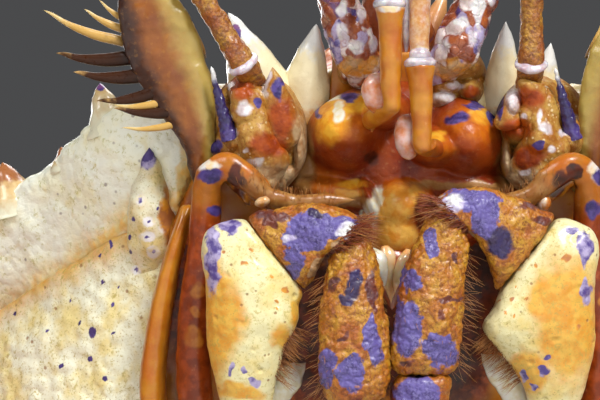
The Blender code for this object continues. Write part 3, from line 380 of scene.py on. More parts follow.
class Paint:
    # a material being mixed, with short names for the nodes that it needs

    def __init__(self, name):
        self.material = bpy.data.materials.new(name)
        self.material.use_nodes = True
        self.tree = self.material.node_tree
        self.shader = self.tree.nodes["Principled BSDF"]
        coordinates = self.tree.nodes.new("ShaderNodeTexCoord")
        self.place = self.vector("MULTIPLY", coordinates.outputs["Object"], (1000, 1000, 1000))

    def put(self, socket, value):
        if isinstance(value, bpy.types.NodeSocket):
            self.tree.links.new(value, socket)
        elif isinstance(value, tuple) and len(value) == 3 and socket.type == "RGBA":
            socket.default_value = (*value, 1)
        else:
            socket.default_value = value

    def vector(self, operation, a, b):
        made = self.tree.nodes.new("ShaderNodeVectorMath")
        made.operation = operation
        self.put(made.inputs[0], a)
        self.put(made.inputs[1], b)
        return made.outputs[0]

    def sum(self, operation, a, b):
        made = self.tree.nodes.new("ShaderNodeMath")
        made.operation = operation
        self.put(made.inputs[0], a)
        self.put(made.inputs[1], b)
        return made.outputs[0]

    def noise(self, size, detail=3.0, rough=0.55, warp=0.0):
        made = self.tree.nodes.new("ShaderNodeTexNoise")
        self.put(made.inputs["Vector"], self.place)
        made.inputs["Scale"].default_value = 1 / size
        made.inputs["Detail"].default_value = detail
        made.inputs["Roughness"].default_value = rough
        made.inputs["Distortion"].default_value = warp
        return made.outputs[0]

    def cells(self, size, feature="F1", chance=1.0, out="Distance"):
        made = self.tree.nodes.new("ShaderNodeTexVoronoi")
        made.feature = feature
        self.put(made.inputs["Vector"], self.place)
        made.inputs["Scale"].default_value = 1 / size
        made.inputs["Randomness"].default_value = chance
        return made.outputs[out]

    def mark(self, name):
        made = self.tree.nodes.new("ShaderNodeAttribute")
        made.attribute_name = name
        return made.outputs["Fac"]

    def ramp(self, value, low, high, down=False):
        made = self.tree.nodes.new("ShaderNodeMapRange")
        made.interpolation_type = "SMOOTHSTEP"
        self.put(made.inputs[0], value)
        made.inputs[1].default_value = low
        made.inputs[2].default_value = high
        made.inputs[3].default_value = 1.0 if down else 0.0
        made.inputs[4].default_value = 0.0 if down else 1.0
        return made.outputs[0]

    def mix(self, share, a, b):
        made = self.tree.nodes.new("ShaderNodeMix")
        made.data_type = "RGBA"
        self.put(made.inputs[0], share)
        self.put(made.inputs[6], a)
        self.put(made.inputs[7], b)
        return made.outputs[2]

    def bump(self, height, depth, strength):
        made = self.tree.nodes.new("ShaderNodeBump")
        made.inputs["Strength"].default_value = strength
        made.inputs["Distance"].default_value = depth * 0.001
        self.put(made.inputs["Height"], height)
        return made.outputs[0]

    def tint(self, colour, mask, share, other):
        # mixes a share of another colour in where the mask is
        return self.mix(self.sum("MULTIPLY", mask, share), colour, other)

    def frayed(self, name, size, amount):
        # a named mark whose edge is broken up by fine noise
        edge = self.mark(name)
        fray = self.sum("SUBTRACT", self.noise(size, 4), 0.5)
        return self.sum("ADD", edge, self.sum("MULTIPLY", fray, amount))

    def patches(self, colour, *kinds):
        # Colours what lies inside the named patches. A kind of patch is its mark, the two colours mixed in
        # it, the size of the noise that frays its edge, and how soft the edge is.
        for name, a, b, size, soft in kinds:
            inside = self.ramp(self.frayed(name, size, 0.5), 0.5 - soft, 0.5 + soft)
            tone = self.mix(self.ramp(self.noise(1.6, 3), 0.38, 0.62), a, b)
            colour = self.mix(inside, colour, tone)
        return colour

    def finish(self, colour, roughness=0.3, coat=0.5, bump=None, glow=0.0, shine=0.5):
        wet = self.sum("ADD", self.sum("MULTIPLY", self.noise(0.9, 4), 0.22), roughness - 0.11)
        self.put(self.shader.inputs["Base Color"], colour)
        self.put(self.shader.inputs["Roughness"], wet)
        self.shader.inputs["Coat Weight"].default_value = coat
        self.shader.inputs["Coat Roughness"].default_value = 0.20
        self.shader.inputs["Specular IOR Level"].default_value = shine
        if bump is not None:
            self.put(self.shader.inputs["Normal"], bump)
        if glow:
            self.shader.inputs["Subsurface Weight"].default_value = glow
            self.shader.inputs["Subsurface Radius"].default_value = (1.0, 0.35, 0.1)
            self.shader.inputs["Subsurface Scale"].default_value = 0.0012
        return self.material


def creamShell(name, speckle=0.5, dotSize=1.7, pale=palette["bone"], warm=palette["cream"]):
    p = Paint(name)
    colour = p.mix(p.ramp(p.noise(4.5, 4), 0.42, 0.68), pale, warm)
    colour = p.patches(colour, ("amber", palette["amber"], (0.70, 0.40, 0.06), 2.0, 0.35))
    fine = p.ramp(p.noise(0.35, 2, 0.7), 0.56, 0.68)
    colour = p.tint(colour, fine, 0.6 * speckle, (0.46, 0.38, 0.09))
    stipple = p.ramp(p.cells(0.62), 0.10, 0.18, down=True)
    colour = p.tint(colour, stipple, 0.6 * speckle, (0.34, 0.20, 0.05))
    freckle, broad = p.ramp(p.noise(0.7, 4, 0.75, 0.6), 0.53, 0.64), p.ramp(p.noise(2.4, 3), 0.38, 0.58)
    colour = p.tint(colour, p.sum("MULTIPLY", freckle, broad), 0.75 * speckle, (0.42, 0.33, 0.07))
    pits = p.cells(dotSize)
    pitted = p.sum("MULTIPLY", p.ramp(pits, 0.07, 0.16, down=True), p.ramp(p.noise(3.0, 1), 0.40, 0.55))
    colour = p.tint(colour, pitted, 0.8, (0.30, 0.15, 0.05))
    colour = p.patches(
        colour,
        ("milkAndHighlight", (0.80, 0.78, 0.78), palette["bone"], 0.3, 0.2),
        ("violet", palette["violet"], palette["lilac"], 0.35, 0.16),
        ("dots", palette["indigo"], palette["violet"], 0.2, 0.14),
        ("rustAndShade", (0.42, 0.16, 0.05), palette["amber"], 0.8, 0.2),
    )
    height = p.sum("ADD", p.noise(0.5, 4), p.sum("MULTIPLY", pitted, -1.2))
    return p.finish(colour, 0.38, 0.22, p.bump(height, 0.10, 0.6), 0, 0.4)


def orangeShell(name, coarse=0.6, dark=0.75):
    p = Paint(name)
    colour = p.mix(p.ramp(p.noise(2.2, 4), 0.36, 0.66), (0.42, 0.135, 0.005), (0.53, 0.27, 0.022))
    colour = p.mix(p.ramp(p.noise(3.4, 3, 0.5), 0.48, 0.66), colour, (0.36, 0.090, 0.004))
    mottle = p.ramp(p.noise(0.8, 5, 0.7, 0.8), 0.49, 0.60)
    colour = p.tint(colour, mottle, dark, (0.20, 0.045, 0.004))
    scratch = p.ramp(p.noise(0.26, 4, 0.75), 0.55, 0.66)
    colour = p.tint(colour, scratch, 0.6, (0.10, 0.022, 0.006))
    fleck = p.ramp(p.cells(0.55), 0.16, 0.26, down=True)
    colour = p.tint(colour, fleck, 0.30, (0.62, 0.34, 0.06))
    # dark red-brown patches: rust marks, and painted shade on the right propodus's shaded side
    colour = p.patches(colour, ("rustAndShade", palette["rustAndShade"], (0.10, 0.030, 0.030), 0.45, 0.20))
    grey = p.mix(p.ramp(p.noise(0.3, 4, 0.7), 0.42, 0.62), (0.055, 0.036, 0.17), (0.175, 0.145, 0.38))
    colour = p.patches(
        colour,
        ("violet", grey, (0.12, 0.09, 0.32), 0.5, 0.07),
        ("dots", palette["indigo"], (0.03, 0.015, 0.06), 0.5, 0.2),
        ("milkAndHighlight", palette["milkAndHighlight"], palette["lilac"], 0.5, 0.26),
        ("tan", palette["tan"], (0.40, 0.25, 0.14), 0.8, 0.1),
    )
    height = p.sum("ADD", p.noise(0.35, 5, 0.65), p.sum("MULTIPLY", p.cells(0.5), -0.8))
    return p.finish(colour, 0.40, 0.22, p.bump(height, 0.24 * coarse, 0.9))


def smoothOrange(name, low=(0.26, 0.030, 0.004), coat=0.8):
    p = Paint(name)
    colour = p.mix(p.ramp(p.noise(3.0, 3), 0.3, 0.7), (0.44, 0.115, 0.005), (0.52, 0.21, 0.014))
    # the deep patches take the low colour; on the face plate they are painted shade
    colour = p.patches(colour, ("deep", low, (0.34, 0.055, 0.005), 3.0, 0.42))
    streak = p.ramp(p.noise(0.8, 4, 0.6), 0.6, 0.75)
    colour = p.tint(colour, streak, 0.16, (0.80, 0.50, 0.20))
    # near-black patches: dark stripes and joint skin on some pieces, painted shade on the face plate
    colour = p.patches(
        colour,
        ("milkAndHighlight", palette["milkAndHighlight"], (0.74, 0.55, 0.30), 0.6, 0.3),
        ("violet", palette["violet"], palette["indigo"], 0.5, 0.2),
        ("rustAndShade", (0.085, 0.013, 0.003), (0.028, 0.007, 0.003), 0.6, 0.2),
        ("spots", (0.52, 0.19, 0.018), (0.40, 0.11, 0.010), 0.8, 0.30),
        ("tan", (0.36, 0.17, 0.045), (0.30, 0.11, 0.020), 1.2, 0.30),
    )
    return p.finish(colour, 0.32, coat, p.bump(p.noise(0.9, 4), 0.12, 0.5), 0.10, 0.35)


def leafShell(name):
    # dark brown along the outer edge through orange-brown to a pale yellow-green inner edge
    p = Paint(name)
    colour = p.mix(p.ramp(p.noise(4.0, 3), 0.3, 0.7), (0.28, 0.085, 0.005), (0.20, 0.050, 0.003))
    colour = p.mix(p.ramp(p.frayed("milkAndHighlight", 1.5, 0.3), 0.30, 0.90), colour, (0.40, 0.28, 0.060))
    colour = p.mix(p.ramp(p.frayed("deep", 2.0, 0.5), 0.30, 0.95), colour, (0.035, 0.009, 0.003))
    streak = p.ramp(p.noise(0.8, 4, 0.6), 0.55, 0.7)
    colour = p.tint(colour, streak, 0.25, (0.42, 0.18, 0.02))
    return p.finish(colour, 0.34, 0.25, p.bump(p.noise(0.9, 4), 0.14, 0.6), 0.08)


def fleshShell(name):
    # the smooth wet middle of the face: deep red-orange, running to yellow on the domes and tan on the lips
    p = Paint(name)
    colour = p.mix(p.ramp(p.noise(3.2, 4, 0.5), 0.34, 0.68), (0.20, 0.020, 0.002), (0.34, 0.052, 0.003))
    colour = p.patches(
        colour,
        ("orange", (0.52, 0.13, 0.006), (0.42, 0.085, 0.004), 3.0, 0.42),
        ("amber", (0.78, 0.40, 0.030), (0.70, 0.27, 0.012), 2.4, 0.40),
        ("tan", (0.42, 0.21, 0.07), (0.34, 0.15, 0.035), 1.4, 0.28),
        ("cream", (0.70, 0.37, 0.065), (0.64, 0.24, 0.020), 3.0, 0.34),
    )
    streak = p.ramp(p.noise(0.6, 4, 0.65), 0.55, 0.75)
    colour = p.tint(colour, streak, 0.22, (0.60, 0.34, 0.12))
    # white spots, some of them painted highlights, and near-black spots painted as shade
    colour = p.patches(
        colour,
        ("milkAndHighlight", (0.76, 0.74, 0.64), (0.72, 0.60, 0.32), 0.8, 0.26),
        ("violet", (0.13, 0.09, 0.30), palette["indigo"], 0.7, 0.26),
        ("rustAndShade", (0.05, 0.008, 0.003), palette["rustAndShade"], 0.6, 0.30),
    )
    height = p.sum("ADD", p.noise(0.9, 4), p.sum("MULTIPLY", p.noise(0.25, 3), 0.3))
    return p.finish(colour, 0.38, 0.10, p.bump(height, 0.14, 0.6), 0.08, 0.3)


def rootShell(name):
    # the antenna's grained root: tan and yellow with white grains, their tops partly painted highlight,
    # red-orange hollows and grey clear skin
    p = Paint(name)
    colour = p.mix(p.ramp(p.noise(1.8, 4), 0.36, 0.66), (0.32, 0.115, 0.011), (0.46, 0.26, 0.055))
    # pale grain tops: partly pale grains, partly painted highlight
    paleGrainAndHighlight = p.ramp(p.cells(0.7), 0.18, 0.34, down=True)
    colour = p.mix(p.sum("MULTIPLY", paleGrainAndHighlight, p.ramp(p.noise(1.6, 2), 0.46, 0.62)), colour, (0.66, 0.50, 0.26))
    pit = p.ramp(p.noise(0.6, 4, 0.7), 0.52, 0.62)
    colour = p.tint(colour, pit, 0.6, (0.24, 0.075, 0.010))
    colour = p.patches(
        colour,
        ("deep", (0.34, 0.058, 0.002), (0.23, 0.030, 0.002), 1.8, 0.34),
        ("grey", (0.32, 0.17, 0.07), (0.50, 0.36, 0.20), 1.2, 0.30),
        ("milkAndHighlight", (0.76, 0.73, 0.74), (0.54, 0.44, 0.44), 0.6, 0.34),
        ("violet", palette["violet"], palette["indigo"], 0.5, 0.2),
    )
    height = p.sum("ADD", p.noise(0.6, 4), p.sum("MULTIPLY", p.cells(0.6), -0.7))
    return p.finish(colour, 0.46, 0.10, p.bump(height, 0.16, 0.6), 0.06, 0.3)


def blockShell(name, size=1.9):
    # rows of blocks, white, lilac or red-brown, with soft edges, as on the eyestalks
    p = Paint(name)
    shade = p.noise(size * 0.8, 3, 0.5)
    straight = p.place
    bend = p.tree.nodes.new("ShaderNodeTexNoise")
    p.put(bend.inputs["Vector"], straight)
    bend.inputs["Scale"].default_value = 1 / size
    bend.inputs["Detail"].default_value = 3
    p.place = p.vector("ADD", straight, p.vector("MULTIPLY", bend.outputs["Color"], (1.8, 1.8, 1.8)))
    pick = p.cells(size, chance=0.75, out="Color")
    split = p.tree.nodes.new("ShaderNodeSeparateColor")
    p.put(split.inputs[0], pick)
    colour = p.mix(p.ramp(shade, 0.35, 0.65), (0.20, 0.035, 0.012), (0.36, 0.09, 0.02))
    colour = p.mix(p.ramp(split.outputs[0], 0.72, 0.78), colour, (0.70, 0.60, 0.58))
    colour = p.mix(p.ramp(split.outputs[1], 0.86, 0.91), colour, palette["lilac"])
    colour = p.mix(p.ramp(split.outputs[2], 0.93, 0.96), colour, palette["violet"])
    seam = p.ramp(p.cells(size, "DISTANCE_TO_EDGE", 0.75), 0.02, 0.10, down=True)
    colour = p.tint(colour, seam, 0.5, (0.30, 0.09, 0.06))
    p.place = straight
    colour = p.tint(colour, p.ramp(p.noise(0.5, 4, 0.7), 0.50, 0.66), 0.35, (0.24, 0.07, 0.04))
    colour = p.patches(
        colour,
        ("amber", palette["amber"], palette["tan"], 0.7, 0.2),
        ("lilac", palette["lilac"], palette["violet"], 0.5, 0.2),
        ("milkAndHighlight", palette["milkAndHighlight"], (0.58, 0.50, 0.56), 0.7, 0.30),
    )
    height = p.sum("ADD", p.noise(0.7, 4), p.sum("MULTIPLY", seam, -0.6))
    return p.finish(colour, 0.28, 0.45, p.bump(height, 0.14, 0.8), 0.12)


def backShell(name, violetShare=0.5):
    # the rough shell of the back, legs and claws: rust and orange with violet and cream blotches
    p = Paint(name)
    wide = p.noise(11, 5, 0.6, 0.6)
    colour = p.mix(p.ramp(wide, 0.38, 0.60), (0.44, 0.11, 0.035), palette["orange"])
    colour = p.mix(p.ramp(p.noise(6, 4, 0.6), 0.57, 0.70), colour, (0.70, 0.44, 0.20))
    spread = p.ramp(p.noise(8, 4, 0.6, 0.8), 0.60, 0.63)
    colour = p.tint(colour, spread, violetShare, palette["violet"])
    colour = p.tint(colour, p.ramp(p.noise(0.9, 5, 0.7), 0.55, 0.7), 0.55, palette["rustAndShade"])
    fleck = p.ramp(p.cells(1.5), 0.12, 0.22, down=True)
    colour = p.tint(colour, fleck, 0.35, (0.80, 0.58, 0.34))
    pale = p.mix(p.ramp(p.noise(7, 4), 0.4, 0.7), (0.90, 0.92, 0.78), (0.92, 0.90, 0.64))
    tinge, broad = p.ramp(p.noise(0.8, 4, 0.75, 0.6), 0.52, 0.64), p.ramp(p.noise(2.6, 3), 0.38, 0.60)
    pale = p.tint(pale, p.sum("MULTIPLY", tinge, broad), 0.75, (0.50, 0.47, 0.14))
    yellow = p.ramp(p.noise(2.6, 4), 0.56, 0.72)
    pale = p.tint(pale, yellow, 0.40, (0.78, 0.66, 0.24))
    dark = p.ramp(p.cells(3.1), 0.05, 0.12, down=True)
    pale = p.tint(pale, dark, 0.7, (0.22, 0.16, 0.14))
    colour = p.mix(p.ramp(p.frayed("pale", 2.5, 0.7), 0.42, 0.60), colour, pale)
    colour = p.patches(colour, ("amber", (0.84, 0.50, 0.10), palette["cream"], 1.4, 0.3))
    height = p.sum("ADD", p.noise(1.0, 5, 0.6), p.sum("MULTIPLY", p.cells(1.5), -0.9))
    return p.finish(colour, 0.42, 0.30, p.bump(height, 0.30, 0.8))


def spineShell(name, root, middle, tip, low=0.45, high=0.8, coat=0.5):
    # a spine, coloured from its root to its tip by the mark named rise
    p = Paint(name)
    edge = p.frayed("rise", 1.2, 0.35)
    colour = p.mix(p.ramp(edge, low * 0.35, low), root, middle)
    colour = p.mix(p.ramp(edge, high - 0.12, high + 0.06), colour, tip)
    colour = p.patches(colour, ("violet", (0.20, 0.06, 0.20), palette["violet"], 0.5, 0.15))
    return p.finish(colour, 0.30, coat, p.bump(p.noise(0.5, 4), 0.10, 0.6), 0, 0.5 * min(1, coat + 0.4))


def plainWet(name, a, b, size=1.2, roughness=0.25, coat=0.7, glow=0.2):
    p = Paint(name)
    colour = p.mix(p.ramp(p.noise(size, 4), 0.35, 0.68), a, b)
    return p.finish(colour, roughness, coat, p.bump(p.noise(size * 0.5, 4), 0.08, 0.6), glow)


def hairPaint(name, a, b):
    p = Paint(name)
    colour = p.mix(p.mark("rise"), a, b)
    return p.finish(colour, 0.42, 0.15)


paints = {
    "merus": creamShell("merusShell", 0.8, 1.6, (0.74, 0.68, 0.38), (0.72, 0.56, 0.19)),
    "cheek": creamShell("cheekShell", 1.0, 2.4, (0.78, 0.78, 0.60), (0.74, 0.62, 0.27)),
    "belly": creamShell("bellyShell", 0.6, 3.2),
    "palp": orangeShell("palpShell"),
    "smooth": smoothOrange("smoothShell"),
    "stem": smoothOrange("stemShell", coat=0.5),
    "flesh": fleshShell("fleshShell"),
    "root": rootShell("rootShell"),
    "blocks": blockShell("stalkShell"),
    "edgeSpine": spineShell("edgeSpine", (0.78, 0.76, 0.56), (0.66, 0.46, 0.20), (0.34, 0.12, 0.035), 0.5,
                            0.68),
    "redKnob": smoothOrange("redKnob", (0.22, 0.022, 0.003), 0.8),
    "whiteKnob": smoothOrange("whiteKnob", (0.30, 0.16, 0.34), 0.8),
    "back": backShell("backShell"),
    "legs": backShell("legShell", 0.8),
    "whiteSpine": spineShell("whiteSpine", palette["amber"], palette["bone"], (0.74, 0.74, 0.70), 0.35, 0.8),
    "violetSpine": spineShell("violetSpine", (0.06, 0.035, 0.18), (0.022, 0.012, 0.085), palette["milkAndHighlight"], 0.3,
                              0.88),
    "knob": spineShell("knobShell", (0.48, 0.14, 0.045), (0.60, 0.28, 0.10), (0.74, 0.58, 0.32), 0.6, 0.86),
    # dark spines of the antenna's scale: dark brown, their near-black partly painted shade
    "scaleSpine": spineShell("scaleSpine", (0.012, 0.004, 0.002), (0.042, 0.012, 0.003), (0.50, 0.30, 0.10),
                             0.75, 0.97, 0.05),
    # painted highlight: golden strips for the lit edges of the scale's dark spines, near black at their roots
    "spineHighlight": spineShell("spineHighlight", (0.05, 0.016, 0.006), (0.54, 0.32, 0.08), (0.62, 0.46, 0.19), 0.60,
                            0.85, 0.1),
    "claw": spineShell("clawTip", palette["orange"], (0.16, 0.06, 0.03), (0.10, 0.05, 0.035), 0.7, 0.9),
    "enamel": plainWet("enamel", (0.84, 0.83, 0.74), (0.74, 0.66, 0.40), 1.4, 0.16, 0.9, 0.1),
    # its near-black deep colour is painted shade where the plate shows in the gaps between the mouthparts
    "plate": smoothOrange("plateShell", (0.10, 0.010, 0.002), 0.2),
    "rim": smoothOrange("rimShell", (0.40, 0.10, 0.006), 0.35),
    "lip": plainWet("lip", (0.80, 0.62, 0.36), (0.84, 0.40, 0.12), 3.0, 0.22, 0.8, 0.3),
    "cup": plainWet("antennuleCup", (0.55, 0.16, 0.03), (0.66, 0.45, 0.40), 2.2, 0.14, 0.9, 0.5),
    "clear": plainWet("clearJoint", (0.42, 0.33, 0.38), (0.72, 0.68, 0.70), 1.4, 0.20, 0.6, 0.3),
    "eye": plainWet("eyeBlack", (0.012, 0.008, 0.012), (0.03, 0.018, 0.03), 0.8, 0.08, 1.0, 0.0),
    "goldHair": hairPaint("goldHair", (0.16, 0.035, 0.007), (0.50, 0.22, 0.05)),
    "redHair": hairPaint("redHair", (0.11, 0.009, 0.002), (0.30, 0.055, 0.010)),
}
print("materials mixed")


# Camera, floor and light

studio = {
    "sensorWidth": 36,
    "nearClip": 0.005,
    "lamps": [                          # name, place, what it is aimed at, width in metres and power
        ("key", face(530, 1120, 830), face(-8, 0, 0), 0.38, 26),
        ("fill", face(-1000, 1200, 790), face(-20, 0, 0), 0.55, 11),
        ("top", body(40, -40, 620), body(0, 0, 0), 0.36, 2.2),
        ("rear", body(-260, 420, 480), body(0, 20, 0), 0.30, 1.7),
    ],
    "sky": 0.08,
    "skyColour": (0.86, 0.87, 0.90, 1),
    "floorHalf": 3,                     # metres
    "floorColours": ((0.74, 0.74, 0.73), (0.78, 0.78, 0.77)),
}


def aimed(place, towards):
    back = unit(place - towards)
    right = unit(np.cross((0, 0, 1), back))
    up = np.cross(back, right)
    matrix = Matrix(np.array([right, up, back]).T.tolist()).to_4x4()
    return Matrix.Translation((place * 0.001).tolist()) @ matrix


def setStage():
    cam = bpy.data.cameras.new("camera")
    cam.sensor_width = studio["sensorWidth"]
    cam.lens = studio["sensorWidth"] * view["distance"] / (view["pictureWidth"] * view["mmPerPixel"])
    cam.clip_start = studio["nearClip"]
    holder = bpy.data.objects.new("camera", cam)
    bpy.context.scene.collection.objects.link(holder)
    place = face(*view["centre"], view["distance"])
    matrix = Matrix(faceAxes.T.tolist()).to_4x4()
    holder.matrix_world = Matrix.Translation((place * 0.001).tolist()) @ matrix
    bpy.context.scene.camera = holder
    for name, place, target, size, power in studio["lamps"]:
        lamp = bpy.data.lights.new(name, "AREA")
        lamp.size = size
        lamp.energy = power
        lampHolder = bpy.data.objects.new(name, lamp)
        lampHolder.matrix_world = aimed(place, target)
        bpy.context.scene.collection.objects.link(lampHolder)
    world = bpy.data.worlds.new("studio")
    world.use_nodes = True
    world.node_tree.nodes["Background"].inputs[0].default_value = studio["skyColour"]
    world.node_tree.nodes["Background"].inputs[1].default_value = studio["sky"]
    bpy.context.scene.world = world
    mesh = bpy.data.meshes.new("floor")
    half = studio["floorHalf"]
    corners = [(-half, -half, 0), (half, -half, 0), (half, half, 0), (-half, half, 0)]
    mesh.from_pydata(corners, [], [(0, 1, 2, 3)])
    floor = bpy.data.objects.new("floor", mesh)
    paint = Paint("floorPaint")
    grey = paint.mix(paint.noise(40, 3), *studio["floorColours"])
    mesh.materials.append(paint.finish(grey, 0.6, 0.0))
    bpy.context.scene.collection.objects.link(floor)


setStage()
bpy.context.scene.view_settings.view_transform = "Standard"
print("stage set")


# Carapace

carapace = {
    "outline": [(0, -80), (12, -79), (26, -78), (38, -75.5), (44, -70.5), (52, -61.5), (61, -53), (75, -32),
                (87, -8), (95, 16), (98, 36), (93, 56), (78, 72), (52, 81), (24, 84), (0, 85)],
    "dome": 26.0, "rostrum": 7.0, "wallDepth": 12.0, "wallInset": 10.5, "middle": (0.0, 2.0),
    "bosses": [(0, -36, 33, 25, 23), (0, 24, 21, 17, 16), (50, 16, 29, 25, 27), (-50, 16, 29, 25, 27),
               (0, 60, 8, 26, 12)],
    "columns": 480, "rows": 120, "smallKnobs": 110, "goldenTurn": 2.39996,
    "violetTip": (101, 86, 6, 5), "violetSpine": 40.4,
    "coneMarks": [(237, 34, 5, 9), (247, 20, 3, 3), (253, 28, 3, 3)],
}


def roundCurve(points, steps):
    # a closed curve through the points, each stretch shaped by its four nearest
    p = np.array(points, dtype=float)
    t = np.arange(steps) * len(p) / steps
    i = t.astype(int)
    u = (t - i)[:, None]
    a, b, c, d = (p[(i + k) % len(p)] for k in (-1, 0, 1, 2))
    return 0.5 * (2 * b + (c - a) * u + (2 * a - 5 * b + 4 * c - d) * u ** 2
                  + (3 * b - a - 3 * c + d) * u ** 3)


def outline(steps):
    right = carapace["outline"]
    return roundCurve(right + [(-x, y) for x, y in reversed(right[1:-1])], steps)


def marginHeight(x, y):
    front = np.where(y < -40, np.exp(-((x / 9) ** 2)), 0)
    return carapace["rostrum"] * front - 3 * (x / 98) ** 2


def topHeight(x, y, share):
    dome = carapace["dome"] * np.maximum(0.0, 1 - share ** 2.4) ** 0.75
    bosses = sum(tall * np.exp(-((x - bx) / wide) ** 2 - ((y - by) / long) ** 2)
                 for bx, by, tall, wide, long in carapace["bosses"])
    return dome + bosses * (1 - share ** 5) + marginHeight(x, y) * share ** 3


plate = {
    "half": [(-38, 26), (-30, 32.5), (-17, 33), (-4, 31), (4, 27.6), (10.4, 23.6), (12.6, 8.8), (20.6, 8.6)],
    "back": -18.3, "dish": 1.9,
    "rim": [(33.0, 1.4, -34.4, -9), (34.8, 1.8, -28, -6.6), (34.0, 1.7, -17, -6.6), (32.2, 1.4, -9.5, -6.6),
            (30.6, 1.2, -4.6, -6.6), (29.4, 1.1, -0.6, -8)],
}


def behindPlate(points, room=0.9):
    # pushes points back to make room for the face plate
    local = (points - faceCentre) @ faceAxes.T
    ups, halves = zip(*plate["half"])
    limit = np.interp(local[..., 1], ups, halves) + 0.3
    inside = (np.abs(local[..., 0]) < limit) & (local[..., 1] > -38) & (local[..., 1] < 20.8)
    deep = np.minimum(local[..., 2], pose["plateFront"] - room)
    local[..., 2] = np.where(inside, deep, local[..., 2])
    return local @ faceAxes + faceCentre


def makeCarapace():
    # The shell in rows: the flat under it, the wall up to the margin, then shares of the way to the middle.
    # Its top is a dome plus a bell curve for each boss, with lumps and grains over all of it.
    rim = outline(carapace["columns"])
    edge = np.roll(rim, -1, axis=0) - np.roll(rim, 1, axis=0)
    inward = unit(np.stack([-edge[:, 1], edge[:, 0]], axis=-1))
    inward *= -np.sign(np.sum(inward * (rim - np.array([0, -5])), axis=-1))[:, None]
    middle = np.array(carapace["middle"])
    depth, inset = carapace["wallDepth"], carapace["wallInset"]
    rows = []
    foot = rim + inward * inset
    for share in (0.001, 0.3, 0.6, 0.85, 0.97):
        rows.append(np.column_stack([middle + (foot - middle) * share, np.full(len(rim), -depth)]))
    for step in np.linspace(0, 1, 26)[1:-1]:
        swell = 1.1 * math.sin(math.pi * min(step * 6, 1) / 2) * (1 - step)
        bulge = inset * (1 - step) ** 1.35 + swell - 1.1 * (1 - step)
        level = rim + inward * bulge
        rise = (marginHeight(level[:, 0], level[:, 1])) * step ** 2
        rows.append(np.column_stack([level, rise - depth * (1 - step) ** 0.9]))
    shares = 1 - np.linspace(0, 1, carapace["rows"]) ** 1.35
    shares[-1] = 0.001
    for share in shares:
        level = middle + (rim - middle) * share
        rows.append(np.column_stack([level, topHeight(level[:, 0], level[:, 1], share)]))
    level = np.array(rows)
    grid = levelToWorld(level)
    lumps = 0.55 * cloud(grid, 6.0, 3) + 0.30 * cloud(grid, 2.6, 4)
    beads = 0.45 * grains(grid, 4.2, 8, 0.45) + 0.18 * grains(grid, 2.0, 9, 0.5)
    grid = raised(grid, lumps * 0.8 + beads)
    grid = behindPlate(grid, 2.9)
    y, z = level[..., 1], level[..., 2]
    front = np.clip((-18 - y) / 24, 0, 1)
    pale = np.clip(1.25 - (z + 2) / 13, 0, 1) * front + np.clip((-1 - z) / 4, 0, 1) * 0.85
    seam = np.clip(0.72 - np.abs(z + 11.5) / 5, 0, 1) * (z > -11.9)
    amber = seam + 0.62 * (np.abs(level[..., 0]) < 30) * (y < -60) * (z < 6)
    marks = {"pale": [np.clip(pale, 0, 1)], "amber": [amber]}
    build("carapaceShell", [grid], paints["back"], marks, "carapace")
    neck = limb([(body(0, -6, z), 23.5, 54, bodyWay(0, 0, 1)) for z in (-21.8, -17, -12, -9)], (1, 0, 0), 96,
                12, 1.5, 4.0)
    build("neckBlock", [behindPlate(neck, 5.5)], paints["belly"])


def shareOf(rim, x, y):
    turn = math.atan2(y - 2, x)
    nearest = min(rim, key=lambda p: abs(math.remainder(math.atan2(p[1] - 2, p[0]) - turn, 2 * math.pi)))
    return math.hypot(x, y - 2) / math.hypot(nearest[0], nearest[1] - 2)


def knobPlaces():
    chance = random.Random(7)
    placed = []
    for bx, by, height, width, length in carapace["bosses"]:
        placed.append((bx, by, 6.0 if height > 15 else 4.0, 4.4))
        for count, reach, tall, radius in ((6, 0.42, 4.6, 3.5), (9, 0.85, 3.8, 3.1)):
            if height < 15 and count == 9:
                continue
            for i in range(count):
                turn = 2 * math.pi * (i + chance.uniform(-0.2, 0.2)) / count
                placed.append((bx + reach * width * math.cos(turn), by + reach * length * math.sin(turn),
                               tall, radius))
    count = carapace["smallKnobs"]
    for i in range(count):
        turn, reach = i * carapace["goldenTurn"], math.sqrt((i + 0.5) / count) * 0.93
        placed.append((92 * reach * math.cos(turn), 2 + 78 * reach * math.sin(turn), chance.uniform(2.2, 3.6),
                       chance.uniform(2.3, 3.0)))
    rim = outline(60).tolist()
    kept = []
    for x, y, tall, radius in placed:
        share = shareOf(rim, x, y)
        crowded = any(math.hypot(x - kx, y - ky) < radius + kr + 1.6 for kx, ky, _, kr, _ in kept)
        if share > 0.93 or crowded or (abs(x) < 12 and y < -68):
            continue
        kept.append((x, y, tall, radius, share))
    return kept


frontSpines = [
    (-12.5, -78, 11.2, 4.2, 0.09, 0.8), (-17.6, -77, 14.2, 5.8, -0.06, -4.4), (15.2, -78, 12, 3.4, 0.0, 0.0),
    (20.5, -77, 10, 3.6, 0.05, 0.6),
]
marginSpines = [
    (29, -77, 5, 2.4, 0.2), (40.4, -74.0, 4.2, 3.5, 0.9), (43.6, -70.9, -0.4, 2.2, 0.9),
    (47.6, -67.0, 0.0, 2.4, 0.8),
    (56.4, -57.8, 4.4, 4.6, 0.7), (67, -44, 5, 3.4, 0.3), (75, -29, 7, 3.2, 0.15), (82, -17, 5, 2.8, 0.1),
    (88, -5, 7, 3.4, 0.15), (93, 9, 5, 3.0, 0.1), (96.5, 24, 7, 3.4, 0.15), (97, 42, 5, 3.0, 0.1),
    (91, 58, 6, 3.2, 0.15), (78, 71, 5, 3.0, 0.1), (60, 78, 4, 2.8, 0.1), (40, 82, 4, 2.6, 0.1),
    (20, 84, 4, 2.6, 0.1),
]


def roughened(grid, amount, size, seed):
    return raised(grid, amount * cloud(grid, size, seed) + amount * 0.5 * cloud(grid, size * 0.4, seed + 1))


